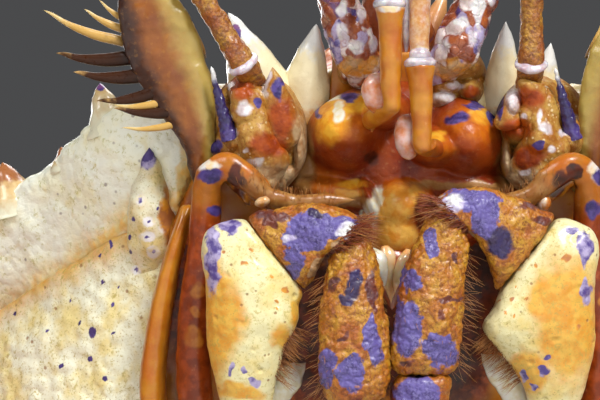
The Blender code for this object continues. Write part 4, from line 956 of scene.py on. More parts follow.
def makeCarapaceSpines():
    knobs = []
    for x, y, tall, radius, share in knobPlaces():
        here = topHeight(x, y, share)
        slope = [topHeight(x + dx, y + dy, share) - here for dx, dy in ((1, 0), (0, 1))]
        out = 0.9 * share ** 3
        way = bodyWay(-slope[0] + out * x / 98, -slope[1] + out * y / 85, 1)
        grid = spike(body(x, y, here), way, tall, radius, 2.4, 14, 9, 0.3)
        knobs.append(roughened(grid, 0.22, 1.4, 12))
    edge, rises = [], []
    for x, y, length, radius, lift in marginSpines:
        for hand in (-1, 1):
            way = bodyWay(hand * x / 98 * 1.1, (y - 8) / 88, lift)
            base = body(hand * x * 0.96, y * 0.96 + 1.5, float(marginHeight(x, y)) - 1.2)
            if y < -50:
                way = bodyWay(hand * 0.25, -0.8, lift)
                base = body(hand * x, y + 2.8, float(marginHeight(x, y)) + 0.9)
            grid = spike(base, way, length + 2, radius, 1.6 if y < -50 else 4.5, 20, 16, 0.5)
            edge.append(roughened(grid, 0.35, 2.0, 13))
            rises.append(rise(grid) * (0.55 if x == carapace["violetSpine"] else 1))
    cones = []
    for x, y, length, radius, lean, curl in frontSpines:
        base = body(x, y + 1.5, float(marginHeight(x, y)) - 1.2)
        grid = spike(base, bodyWay(lean, -0.94, 0.47), length, radius, 3.5, 48, 40, 0.75, curl, (1, 0, 0))
        cones.append(roughened(grid, 0.16, 2.4, 14))
    beak = limb([(body(0, -70, 7), 9, 6), (body(0, -80, 8), 6.5, 4.5), (body(0, -88, 8.5), 4, 3.4),
                 (body(0, -96, 9), 0.6, 0.6)], (1, 0, 0), 40, 40, 1.5)
    teeth = [spike(body(hand * 5.5, -80, 10), bodyWay(hand * 0.35, -0.6, 0.7), 7, 2.6, 2, 14, 10, 0.4)
             for hand in (-1, 1)]
    teeth.append(spike(body(0, -78, 11), bodyWay(0, -0.45, 0.9), 6, 2.4, 2, 14, 10, 0.4))
    build("knobs", knobs, paints["knob"], risen(knobs))
    build("marginSpines", edge, paints["edgeSpine"],
          {"rise": rises, "violet": [stains(g, [carapace["violetTip"]], 1.0) for g in edge]})
    build("frontCones", cones, paints["whiteSpine"],
          {**risen(cones), "violet": [stains(g, carapace["coneMarks"], 1.5) for g in cones]})
    build("beak", [roughened(beak, 0.35, 2.2, 15)], paints["back"])
    build("beakTeeth", teeth, paints["knob"], risen(teeth))


makeCarapace()
makeCarapaceSpines()
print("carapace made")


# Cheek plates, breast plate and abdomen

cheek = {
    "levels": [
        (-12.3, [(24.4, -66.5), (30, -66), (36, -63.5), (42, -59.5), (51, -52), (61, -42), (70, -30)],
         [(58, -31), (38, -45), (24.4, -45)]),
        (-19, [(24.4, -60), (30, -59.5), (36, -57.5), (42, -54.5), (50, -48.5), (58, -41.5), (66, -32.5)],
         [(55, -33.5), (38, -45), (24.4, -46)]),
        (-26, [(24.4, -54), (30, -53.5), (35, -52.3), (41, -49.8), (48, -45.5), (55, -40.5), (61, -35)],
         [(53, -35.5), (38, -45.4), (24.4, -47)]),
        (-33, [(24.4, -50.5), (29, -50.5), (32, -50), (35, -49.3), (38, -48.2), (41, -46.8), (43, -45.4)],
         [(40.5, -45), (36, -46.8), (24.4, -48)]),
    ],
    "dots": [(146, 154, 8, 8), (132, 219, 2, 3), (130, 236, 2, 3), (130, 252, 2, 3), (112, 305, 2, 3),
             (110, 244, 2, 5), (99, 256, 2, 2), (102, 282, 2, 3), (92, 332, 4, 6), (90, 359, 3, 3),
             (15, 313, 3, 2), (60, 366, 3, 2), (70, 300, 2, 2), (118, 286, 1.5, 1.5), (80, 322, 1.5, 3),
             (48, 330, 2, 2), (113, 334, 2, 2), (104, 378, 3, 3)],
    "lilac": [(141, 200, 2, 2), (149, 221, 2, 2), (147, 237, 2.5, 2), (153, 252, 2, 2), (136, 271, 2, 2),
              (164, 229, 2, 2), (146, 158, 10, 11), (158, 207, 2, 2)],
    "pearls": [(141, 200, 5, 5), (149, 221, 7, 6), (147, 237, 8, 6), (153, 252, 7, 6), (136, 271, 5, 5),
               (164, 229, 6, 6)],
    "rustAndShade": [(168, 215, 9, 34), (174, 185, 6, 14)],
}


def makeCheek(sideName, hand):
    # a shell swept down from the seam: each level is a smooth front line and a straighter back one
    fine = []
    levels = np.array([level[0] for level in cheek["levels"]])
    for _, outer, inner in cheek["levels"]:
        outer, inner = np.array(outer, dtype=float), np.array(inner, dtype=float)
        a = spline(np.arange(len(outer)), outer, np.linspace(0, len(outer) - 1, 110))
        b = np.column_stack([np.interp(np.linspace(0, 2, 30), range(3), inner[:, k]) for k in (0, 1)])
        fine.append(np.concatenate([a, b]))
    depth = np.concatenate([1.3 * (1 - np.cos(np.linspace(0, math.pi / 2, 8))), np.linspace(1.6, 20.4, 70)])
    z = levels[0] - depth
    outlines = spline(-levels, np.array(fine).reshape(4, -1), -z).reshape(len(z), -1, 2)
    centre = outlines.mean(axis=1, keepdims=True)
    tuck = np.clip(1.3 - depth, 0, None)
    toward = unit(centre - outlines)
    outlines = outlines + toward * (1.3 - np.sqrt(np.maximum(1.69 - tuck ** 2, 0)))[:, None, None]
    wall = np.dstack([outlines, np.broadcast_to(z[:, None], outlines.shape[:2])])
    poles = []
    for k, share in ((0, 0.001), (0, 0.5), (-1, 0.5), (-1, 0.001)):
        flat = centre[k] + (outlines[k] - centre[k]) * share
        poles.append(np.column_stack([flat, np.full(len(flat), z[k])]))
    level = np.concatenate([np.array(poles[:2]), wall, np.array(poles[2:])])
    level[..., 0] *= hand
    grid = levelToWorld(level)
    height = 0.30 * cloud(grid, 5.0, 21) + 0.22 * grains(grid, 2.2, 22, 0.5) + 0.10 * cloud(grid, 1.0, 23)
    grid = raised(grid, height)
    inset = behindPlate(grid, 1.2)
    base, way = face(hand * 33.9, -8.5, -17.4), faceWay(0, 1, 0.3)
    deep = faceWay(0, 0, -1)
    lobe = limb([(base - way * 8 + deep * 6, 2.2, 2.2, way), (base - way * 2 + deep * 1.6, 3.1, 3.0, way),
                 (base + way * 6, 3.3, 3.1, way), (base + way * 11, 2.5, 2.4, way),
                 (base + way * 16.5, 0, 0, way)], (1, 0, 0), 48, 60, 0.8)
    bumps = 0.24 * grains(lobe, 2.0, 25, 0.5) + 0.35 * cloud(lobe, 3.0, 27) + 0.15 * cloud(lobe, 1.2, 26)
    lobe = raised(lobe, bumps)
    grids = [inset, lobe]
    mirror = [g * np.array([-hand, 1, 1]) for g in grids]
    crease = np.clip(0.75 - (levels[0] - level[..., 2]) / 7, 0, 1)
    marks = {
        "dots": [stains(g, cheek["dots"], 1.0) for g in mirror],
        "violet": [stains(g, cheek["lilac"], 1.5) for g in mirror],
        "milkAndHighlight": [stains(g, cheek["pearls"], 1.0) for g in mirror],
        "rustAndShade": [stains(g, cheek["rustAndShade"], 4.0) * 0.9 for g in mirror],
        "amber": [crease, 0.3],
    }
    build(f"cheekShell_{sideName}", grids, paints["cheek"], marks, f"cheek_{sideName}")


belly = {
    "thorax": [(22, -50), (38, -24), (40, 2), (38, 28), (27, 52), (20, 58)],
    "abdomen": [(58, -32, 20, 8.0, (1, 0)), (66, -32.5, 24, 6.4, (1, -0.1)),
                (73, -35.5, 28, 5.2, (0.8, -0.6)), (76.5, -41, 31, 4.6, (0.1, -1)),
                (72.5, -46.5, 32, 4.3, (-0.8, -0.6)), (62, -49, 33, 4.2, (-1, -0.1)),
                (40, -49.5, 32, 4.2, (-1, 0)), (12, -49.5, 27, 4.0, (-1, 0)), (-12, -49, 19, 3.6, (-1, 0)),
                (-30, -48, 10, 3.0, (-1, 0.05)), (-38, -47.5, 4, 2.2, (-1, 0.05))],
    "segment": 15.0,
}


def makeBelly():
    loop = belly["thorax"] + [(-x, y) for x, y in reversed(belly["thorax"])] + belly["thorax"][:1]
    count = 240
    knots = np.concatenate([[0], np.cumsum(np.linalg.norm(np.diff(np.array(loop), axis=0), axis=1))])
    t = np.linspace(0, knots[-1], count, endpoint=False)
    ringShape = np.column_stack([np.interp(t, knots, [p[k] for p in loop]) for k in (0, 1)])
    middle = np.array([0.0, 4.0])
    rows = []
    below = [(-42, 0.001), (-42, 0.4), (-42, 0.8), (-42, 0.95), (-41.2, 0.985), (-40, 1)]
    above = [(-22.6, 0.99), (-22.3, 0.9), (-22.3, 0.5), (-22.3, 0.001)]
    for z, share in below + [(z, 1) for z in np.linspace(-39, -24, 20)] + above:
        level = middle + (ringShape - middle) * share
        rows.append(np.column_stack([level, np.full(count, z)]))
    grid = levelToWorld(np.array(rows))
    grid = behindPlate(raised(grid, 0.35 * cloud(grid, 5, 31) - 0.3), 5.6)
    build("breastShell", [grid], paints["belly"], {"amber": [0.35 + 0.2 * cloud(grid, 16, 32)]}, "thorax")
    stations = []
    for y, z, half, thick, way in belly["abdomen"]:
        stations.append((body(0, y, z), half, thick, bodyWay(0, *way)))
    tail = limb(stations, (1, 0, 0), 140, 170, 1.2, 2.2)
    tail = tail + bodyWay(0, 1, 0) * 0.3
    place = bodyPlace(tail)
    ridge = np.abs((place[..., 1] / belly["segment"]) % 1 - 0.5) * 2
    groove = -1.0 * np.clip((ridge - 0.86) / 0.14, 0, 1) ** 0.6 * (place[..., 2] < -44)
    tail = raised(tail, groove + 0.5 * grains(tail, 5.0, 33, 0.45) + 0.25 * cloud(tail, 3, 34) - 0.3)
    below = np.clip((-38 - place[..., 2]) / 14, 0, 1) * np.clip((78 - place[..., 1]) / 14, 0, 1)
    marks = {"pale": [0.15 + 0.65 * below + 0.15 * cloud(tail, 9, 35)]}
    build("abdomenShell", [tail], paints["legs"], marks, "abdomen")
    knobs = []
    for y, half in ((55, 31), (40, 30), (25, 28), (10, 25), (-5, 20), (-18, 14)):
        for x in (-0.7, -0.25, 0.25, 0.7):
            base = body(x * half, y + 0.3, -49.5 - 3.6 * math.sqrt(1 - x * x))
            grid = spike(base, bodyWay(x * 0.4, 0, -1), 2.3, 2.9, 1.6, 14, 9, 0.3)
            knobs.append(roughened(grid, 0.15, 1.2, 36))
    build("abdomenKnobs", knobs, paints["knob"], risen(knobs))


for sideName, hand in hands:
    makeCheek(sideName, hand)
makeBelly()
print("underside made")


# Face plate, lip and jaws

# deep and near-black patches painted as shade in the gaps between the mouthparts and in the hole by the mouth
facePlate = {
    "deep": [(410, 158, 95, 32), (330, 175, 30, 22), (480, 165, 30, 30), (310, 350, 30, 90),
             (470, 330, 26, 90), (190, 300, 26, 90)],
    "rustAndShade": [(375, 160, 10, 6), (345, 330, 80, 80), (430, 330, 60, 80), (300, 330, 18, 60),
             (480, 282, 20, 44)],
    "violet": [(405, 400, 4, 4)],
}


antennules = {
    "right": ((-6.3, 9.4), (-4.0, 10.4), (-1.2, 12.0, 1.0), (-1.4, 25.2, 1.4), (-1.6, 36, 0.6),
              (-3.0, 50, -4)),
    "left": ((9.2, 8.2), (5.8, 6.8), (2.8, 6.9, 1.0), (2.5, 17.6, 1.4), (2.6, 31, 1.0), (4.4, 46, -4)),
    "cups": {"right": [((379, 94, -0.9), (17, 22, 1.6), 14, 0.1)],
             "left": [((407, 137, -0.9), (13, 23, 1.5), 6, 0.1)]},
    "balls": {"right": [((388, 4, 1.2), (15, 8, 1.9), 0, 0.06)],
              "left": [((420, 56, 1.6), (11, 10, 1.5), 0, 0.06)]},
    "deep": [(345, 158, 34, 24), (470, 160, 40, 30)],
    "strip": [(406, 52, 0.2), (407, 34, 0.55), (407, -8, 0.6)],
    # white patches; the two on the domes are painted highlights
    "milkAndHighlight": [(336, 118, 16, 12), (462, 140, 8, 7), (392, 8, 14, 4), (420, 55, 14, 7)],
    "violet": [(348, 97, 10, 7), (318, 110, 5, 8), (456, 121, 9, 7), (481, 108, 12, 3)],
}


def makeFacePlate():
    # a dished plate: its front is a shallow bowl, deepest along the middle, and its back is flat
    ups, halves = np.array(plate["half"], dtype=float).T
    up = np.linspace(ups[0], ups[-1], 110)
    half = np.interp(up, ups, halves)
    front = np.linspace(-1, 1, 90)
    back = np.linspace(1, -1, 14)[1:-1]
    rows = []
    for u, h in zip(up, half):
        fade = min(1, max(0, (19.5 - u) / 5)) * min(1, max(0, (u + 38) / 6))
        bowl = plate["dish"] * (1 - front ** 2) * fade
        w = pose["plateFront"] - bowl - 0.5 * np.abs(front) ** 12
        behind = np.column_stack([back * h, np.full(12, plate["back"])])
        ringShape = np.concatenate([np.column_stack([front * h, w]), behind])
        rows.append(np.column_stack([ringShape[:, 0], np.full(len(ringShape), u), ringShape[:, 1]]))
    rows = [rows[0] * [0.001, 1, 1]] + rows + [rows[-1] * [0.001, 1, 1]]
    for end in (0, -1):
        rows[end][:, 2] = (pose["plateFront"] + plate["back"]) / 2
    grid = np.array(rows) @ faceAxes + faceCentre
    grid = raised(grid, 0.25 * cloud(grid, 2.5, 41))
    # its deep and near-black patches are painted shade in the gaps between the mouthparts
    marks = stained(facePlate, ("deep", "rustAndShade", "violet"), [grid], 6.0)
    build("facePlateShell", [grid], paints["plate"], marks, "face_plate")
    rims = []
    for hand in (-1, 1):
        stations = [(outer - wide, upwards, (out - 14) / 2, wide, (out + 14) / 2, 0, 1, 0)
                    for outer, wide, upwards, out in plate["rim"]]
        rim = limb(rings(stations, hand), (1, 0, 0), 40, 90, 0.9, 2.8)
        rims.append(raised(rim, 0.10 * cloud(rim, 1.5, 42) - 0.12))
    build("plateRims", rims, paints["rim"], {"milkAndHighlight": [0.15, 0.15]})


flesh = {
    "middle": (402, 172), "reach": (116, 92), "floor": -11.5,
    "lumps": [
        # the two domes
        (347, 130, -3.7, 40, 42, 6.2, 0), (467, 138, -4.0, 39, 42, 6.2, 0),
        # where the stems leave them, and the flesh round about
        (382, 112, -1.9, 20, 14, 3.6, 14), (434, 147, -2.3, 22, 16, 3.6, -6),
        (405, 160, -8.6, 95, 50, 3.0, 0),
        (345, 194, -8.3, 52, 14, 2.2, -8), (468, 184, -8.2, 62, 13, 2.2, -8),
        # the upper and lower lip
        (403, 207, -4.5, 26, 24, 3.0, -6), (400, 234, -5.2, 25, 34, 3.0, 4), (374, 206, -4.9, 7, 20, 1.8, 24),
        # the outer corners
        (330, 96, -7.4, 34, 14, 3.0, 10), (492, 110, -7.0, 24, 16, 3.0, -34),
    ],
    "orange": [(343, 118, 34, 24), (474, 122, 30, 20), (405, 188, 26, 8), (318, 182, 22, 14),
               (388, 112, 16, 14), (436, 150, 18, 12)],
    "amber": [(333, 124, 18, 18), (352, 103, 28, 10), (482, 114, 16, 9), (386, 104, 14, 7), (434, 137, 12, 6),
              (352, 186, 14, 5)],
    "tan": [(470, 186, 62, 5), (318, 204, 56, 6), (302, 160, 12, 40), (508, 168, 12, 22), (480, 204, 30, 6)],
    "cream": [(394, 210, 20, 22), (396, 238, 24, 20), (340, 196, 22, 5), (414, 196, 10, 8)],
    # white patches; the one on the right dome and the two beside the lip are painted highlights
    "milkAndHighlight": [(338, 113, 6, 11), (330, 96, 12, 4), (377, 199, 6, 14), (371, 214, 8, 13), (505, 108, 6, 12)],
    "violet": [(349, 97, 10, 5), (317, 111, 3, 8), (456, 120, 10, 6), (474, 105, 13, 3), (491, 116, 4, 9)],
    # near-black spots painted as shade: the hole beside the mouth, the hairs' shadow on the lip and the gap
    # under it
    "rustAndShade": [(371, 158, 10, 7), (424, 206, 9, 14), (428, 224, 9, 10), (392, 257, 16, 5)],
}
# the leaf-like inner mouthparts: places in the picture, how far out, and half width in millimetres
jawLeaves = {
    "enamel": [[(370, 250, -5.0, 0.6), (375, 257, -3.9, 1.35), (379, 268, -3.5, 1.2), (383, 279, -3.7, 0.6),
                (385, 289, -4.4, 0)]],
    "lip": [[(386, 246, -6.6, 0.7), (388, 257, -6.2, 1.1), (390, 272, -6.2, 1.0), (391, 290, -6.4, 0.7),
             (391, 304, -6.8, 0)],
            [(408, 250, -5.8, 0.3), (404, 259, -4.6, 0.75), (400, 270, -4.6, 0.8), (396, 284, -5.2, 0.45),
             (395, 293, -6, 0)]],
    "smooth": [[(392, 240, -8.0, 1.4), (393, 260, -7.2, 2.2), (393, 286, -7.6, 2.1), (392, 310, -8.8, 0)],
               [(414, 240, -8.0, 1.2), (412, 258, -7.2, 1.9), (408, 282, -7.6, 1.7), (402, 304, -8.8, 0)]],
}


def makeFlesh():
    grid = fleshy(flesh["middle"], flesh["reach"], flesh["lumps"], flesh["floor"], 0.6, 0.06, 210, 330)
    names = ("orange", "amber", "tan", "cream", "milkAndHighlight", "violet", "rustAndShade")
    build("faceFlesh", [grid], paints["flesh"], stained(flesh, names, [grid], 2.4))


def makeMouth():
    # the upper lip, the two jaws behind it and the leaf-like inner mouthparts, as overlapping rounded forms
    lip = limb(rings([
        (0.4, -1.6, -14.6, 4.6, 3.4, 0, 0, 1), (0.3, -1.4, -9.6, 4.2, 3.0, 0, 0.1, 1),
        (0.2, -0.8, -7.4, 2.4, 1.8, 0, 0.15, 1), (0.1, -0.6, -6.6, 0, 0, 0, 0, 1),
    ]), (1, 0, 0), 56, 60, 0.8)
    for paint, leaves in jawLeaves.items():
        grids = [raised(lip, 0.35 * cloud(lip, 1.9, 43))] if paint == "lip" else []
        for stations in leaves:
            shape = [(*fromPicture(px, py, out), half, half * 0.7) for px, py, out, half in stations]
            leaf = limb(rings(shape), (1, 0, 0), 40, 60, 0.3)
            grids.append(raised(leaf, 0.12 * cloud(leaf, 1.3, 44)))
        marks = {"deep": [0.5 + 0.5 * rise(g) for g in grids]} if paint == "smooth" else None
        build(f"jaws_{paint}", grids, paints[paint], marks, "mouth" if paint == "lip" else None)


makeFacePlate()
makeFlesh()
makeMouth()
print("face plate and mouth made")


# Eyes, antennules and antennae

eyes = {
    "right": ((-4.4, 17.6), (-5.4, 20.0, -9.6), (-9.4, 31.5, -8.0)),
    "left": ((5.8, 17.6), (8.2, 20.4, -8.4), (12.6, 31.2, -9.4)),
    "amber": [(362, 66, 22, 8), (462, 68, 22, 10)],
    "milkAndHighlight": [(343, 32, 7, 10), (356, 47, 7, 6), (374, 45, 7, 9), (345, 8, 5, 9), (360, 18, 4, 7),
             (369, 34, 4, 4), (447, 44, 8, 6), (479, 12, 4, 18), (471, 38, 6, 9), (462, 22, 6, 5),
             (489, -6, 6, 8)],
    "lilac": [(337, 52, 4, 16), (341, 22, 3, 4), (357, 20, 3, 3), (464, 16, 4, 4), (477, 46, 4, 8)],
    "stumps": {"right": {"middle": (360, 68), "reach": (26, 22), "floor": -13.0,
                         "lumps": [(363, 65, -8.6, 20, 11, 2.4, 0), (346, 68, -9.4, 6, 14, 2.0, -10)]},
               "left": {"middle": (456, 84), "reach": (32, 42), "floor": -13.0,
                        "lumps": [(458, 64, -7.8, 23, 13, 2.6, -4), (446, 85, -8.8, 14, 8, 2.0, 0),
                                  (443, 99, -9.2, 14, 10, 2.2, 0), (470, 90, -9.8, 13, 13, 2.4, 0)]}},
    "stumpMarks": {
        "grey": [(444, 60, 14, 10), (370, 66, 12, 7), (440, 104, 12, 8)],
        "milkAndHighlight": [(440, 74, 9, 3), (453, 85, 8, 4), (444, 97, 9, 6), (346, 66, 4, 12)],
        "deep": [(470, 92, 10, 6), (352, 78, 12, 5)],
    },
}


def makeEye(sideName):
    foot, bend, top = (np.array(p, dtype=float) for p in eyes[sideName])
    way = unit(top - bend)
    stalk = limb(rings([
        (*foot, -14.8, 2.3, 2.2, 0, 0, 1), (*foot, -11.4, 2.5, 2.3, 0, 0.4, 0.9),
        (*(bend - way), 3.0, 2.8, *way),
        (*(bend + (top - bend) * 0.2), 3.2, 3.0, *way), (*(bend + (top - bend) * 0.6), 2.7, 2.6, *way),
        (*top, 3.1, 3.0, *way),
    ]), (1, 0, 0), 72, 90, 0.5)
    stalk = raised(stalk, 0.28 * grains(stalk, 1.9, 51, 0.6) + 0.22 * cloud(stalk, 1.4, 52) - 0.1)
    marks = {"amber": [stains(stalk, eyes["amber"])], "milkAndHighlight": [stains(stalk, eyes["milkAndHighlight"], 3.4)],
             "lilac": [stains(stalk, eyes["lilac"], 3.0)]}
    build(f"stalkShell_{sideName}", [stalk], paints["blocks"], marks, f"eyestalk_{sideName}")
    ball = [(*(top + way * k), r, r, *way)
            for k, r in ((0.3, 2.6), (1.0, 3.2), (2.4, 3.1), (3.9, 1.9), (4.6, 0))]
    look = eyes["stumps"][sideName]
    stump = fleshy(look["middle"], look["reach"], look["lumps"], look["floor"], 0.3, 0.10, 70, 140)
    marks = stained(eyes["stumpMarks"], ("grey", "milkAndHighlight", "deep"), [stump], 2.0)
    build(f"stalkBase_{sideName}", [stump], paints["root"], marks)
    eye = limb(rings(ball), (1, 0, 0), 64, 40, 0.5)
    build(f"eyeBall_{sideName}", [eye], paints["eye"], None, f"eye_{sideName}")


def makeAntennule(sideName):
    centre, neck, foot, knee, top, flick = (np.array(p, dtype=float) for p in antennules[sideName])
    between = centre + (neck - centre) * 0.4
    domes = ((centre, -15.0, 4.4), (centre, -12.0, 4.3), (centre, -9.4, 4.0), (centre, -8.2, 3.2),
             (between, -6.6, 2.2), (neck, -5.4, 1.4))
    root = limb(rings([(*spot, out, half, half, 0, 0, 1) for spot, out, half in domes]), (1, 0, 0), 84, 90,
                0.7)
    root = raised(root, 0.14 * cloud(root, 2.6, 61))
    marks = stained(antennules, ("deep", "milkAndHighlight", "violet"), [root], 3.0)
    build(f"antennuleRootShell_{sideName}", [root], paints["smooth"], marks, f"antennule_root_{sideName}")
    way = unit(knee - foot)
    bend = (neck + foot[:2]) / 2
    joint = knee + way * 0.8
    stem = limb(rings([
        (*neck, -6.0, 1.1, 1.1, 0, 0, 1), (*bend, -1.5, 1.2, 1.2, *(foot[:2] - neck + [0, 0.6]), 1.8),
        (*foot, 1.2, 1.15, 0, 1, 0.5), (*(foot + way * 2.4), 1.3, 1.25, *way),
        (*((foot + knee) / 2), 1.5, 1.4, *way), (*(knee - way * 2.6), 1.6, 1.5, *way),
        (*(knee - way * 0.2), 2.05, 1.9, *way),
    ]), (1, 0, 0), 48, 130, 0.4, turning=True)
    upper = limb(rings([
        (*(joint + way * 0.4), 1.15, 1.1, *way), (*(joint + way * 2.0), 1.25, 1.2),
        (*((joint + top) / 2), 1.35, 1.3), (*top, 1.7, 1.6),
    ]), (1, 0, 0), 48, 80, 0.4)
    flickWay = unit(flick - top)
    whip = limb(rings([
        (*top, 1.4, 1.3), (*(top + flickWay * 3), 1.5, 1.4), (*((top + flick) / 2), 0.9, 0.8),
        (*flick, 0.3, 0.3),
    ]), (1, 0, 0), 24, 120, 0.2)
    waves = 0.10 * np.sin(np.linspace(0, 2 * math.pi * 26, len(whip)))[:, None]
    grids = [raised(g, 0.10 * cloud(g, 1.2, 62)) for g in (stem, upper)] + [raised(whip, waves)]
    marks = stained(antennules, ("deep", "milkAndHighlight"), grids, 2.0)
    marks["milkAndHighlight"][1] = np.maximum(marks["milkAndHighlight"][1], 0.42)
    build(f"antennuleShell_{sideName}", grids, paints["stem"], marks, f"antennule_{sideName}")
    clear = [pebble(*part) for part in antennules["balls"][sideName]]
    if sideName == "left":
        strip = [(*fromPicture(px, py, 0.4), half, half * 0.8) for px, py, half in antennules["strip"]]
        clear.append(limb(rings(strip), (1, 0, 0), 24, 40, 0.2))
    clear.append(limb(rings([
        (*(knee - way * 0.5), 1.9, 1.8, *way), (*(knee + way * 0.2), 2.1, 2.0, *way),
        (*(knee + way * 0.9), 1.5, 1.4, *way),
    ]), (1, 0, 0), 40, 20, 0.3))
    build(f"antennuleJoints_{sideName}", clear, paints["clear"])
    cups = [pebble(*part) for part in antennules["cups"][sideName]]
    build(f"antennuleCup_{sideName}", cups, paints["cup"])


antennas = {
    "right": {"bend": (-20.8, 16.8, -5.0), "start": (242, 62, -4.2), "top": (190, -24, -3.4),
              "whip": [(-33, 38, -3), (-44, 52, -8), (-59, 72, -20), (-74, 88, -38)],
              "cone": (281, 132, -6.0), "coneWay": (-0.13, 1, 0.2), "tall": 8.8, "fat": 2.7, "centre": -18.4,
              "wide": 4.2, "blade": [(227, 128, -4.8), (211, 66, -3.4)]},
    "left": {"bend": (18.0, 17.4, -4.6), "start": (531, 62, -4.2), "top": (532, -30, -2.6),
             "whip": [(20, 40, -3), (27, 56, -8), (41, 76, -20), (56, 92, -38)], "cone": (508, 124, -5.6),
             "coneWay": (0.0, 1, 0.3), "tall": 3.0, "fat": 1.9, "centre": 19.5, "wide": 4.0,
             "blade": [(571, 128, -4.8), (555, 68, -3.4)]},
    "mass": {
        "right": {"middle": (258, 134), "reach": (52, 64), "floor": -10.5, "lumps": [
            (246, 88, -4.8, 13, 18, 2.4, 0), (244, 107, -3.2, 8.5, 8.5, 2.0, 0),
            (249, 121, -4.0, 11, 9, 2.0, 0),
            (238, 141, -4.2, 24, 19, 2.8, 10), (272, 146, -4.6, 19, 19, 2.6, 0),
            (262, 168, -5.6, 28, 14, 2.4, -12),
            (223, 120, -5.2, 9, 14, 2.2, 0), (300, 150, -6.2, 7, 36, 2.2, 2),
            (286, 176, -6.8, 20, 16, 2.4, 0),
            (213, 149, -5.4, 12, 9, 2.2, 20), (262, 104, -4.8, 9, 22, 2.4, 14),
            (283, 120, -4.0, 15, 30, 3.0, 10)]},
        "left": {"middle": (542, 136), "reach": (50, 62), "floor": -10.5, "lumps": [
            (512, 104, -3.6, 12, 18, 2.4, 10), (532, 93, -4.0, 18, 14, 2.6, 0),
            (520, 131, -4.8, 14, 12, 2.2, 0),
            (539, 125, -3.7, 8, 14, 2.0, -8), (565, 140, -4.2, 21, 16, 2.8, -8),
            (534, 159, -4.6, 19, 12, 2.4, 6),
            (524, 178, -6.0, 18, 15, 2.4, 0), (507, 164, -6.4, 6, 27, 2.2, 0),
            (570, 126, -4.4, 10, 8, 2.0, 0),
            (556, 122, -4.6, 10, 12, 2.2, 0)]},
    },
    "grey": [(301, 150, 8, 34), (284, 178, 20, 14), (262, 172, 22, 7), (526, 180, 18, 12), (508, 168, 5, 24)],
    "deep": [(243, 88, 13, 12), (282, 118, 15, 22), (270, 146, 18, 13), (531, 98, 15, 11), (516, 129, 14, 11),
             (530, 158, 18, 11)],
    "violet": [(279, 88, 5, 11), (258, 102, 3, 5), (499, 106, 3, 16), (536, 147, 5, 4), (213, 149, 9, 8)],
    "milkAndHighlight": [(267, 84, 4, 14), (244, 107, 8, 7), (228, 116, 4, 5), (237, 133, 4, 4), (256, 163, 8, 4),
             (512, 98, 8, 12), (540, 118, 3, 7), (546, 128, 7, 6), (566, 132, 6, 4), (234, 70, 9, 4),
             (526, 170, 7, 3), (551, 150, 4, 3), (248, 150, 3, 3), (522, 116, 4, 3)],
}
# spines of the antenna's scale: where each leaves the leaf's edge and its tip in the picture, its half width
# in millimetres, and whether it is a dark one
# the dark ones are dark brown, partly painted shade; the pale ones are painted highlights along their lit
# edges
scaleSpines = [
    (184, 122, 121, 128, 0.55, False), (186, 111, 113, 108, 0.7, True), (171, 100, 113, 106, 0.62, False),
    (166, 89, 96, 101, 0.75, True), (151, 75, 73, 72, 0.85, True), (136, 58, 56, 53, 0.85, True),
    (127, 43, 43, 10, 0.75, False), (128, 31, 84, 9, 0.6, False), (128, 22, 99, 0, 0.45, False),
    (139, 24, 116, -14, 0.85, False), (147, 22, 131, -10, 0.6, False), (160, 27, 141, -8, 0.6, False),
    (181, 44, 173, 20, 0.62, False), (201, 50, 191, 20, 0.6, False),
]


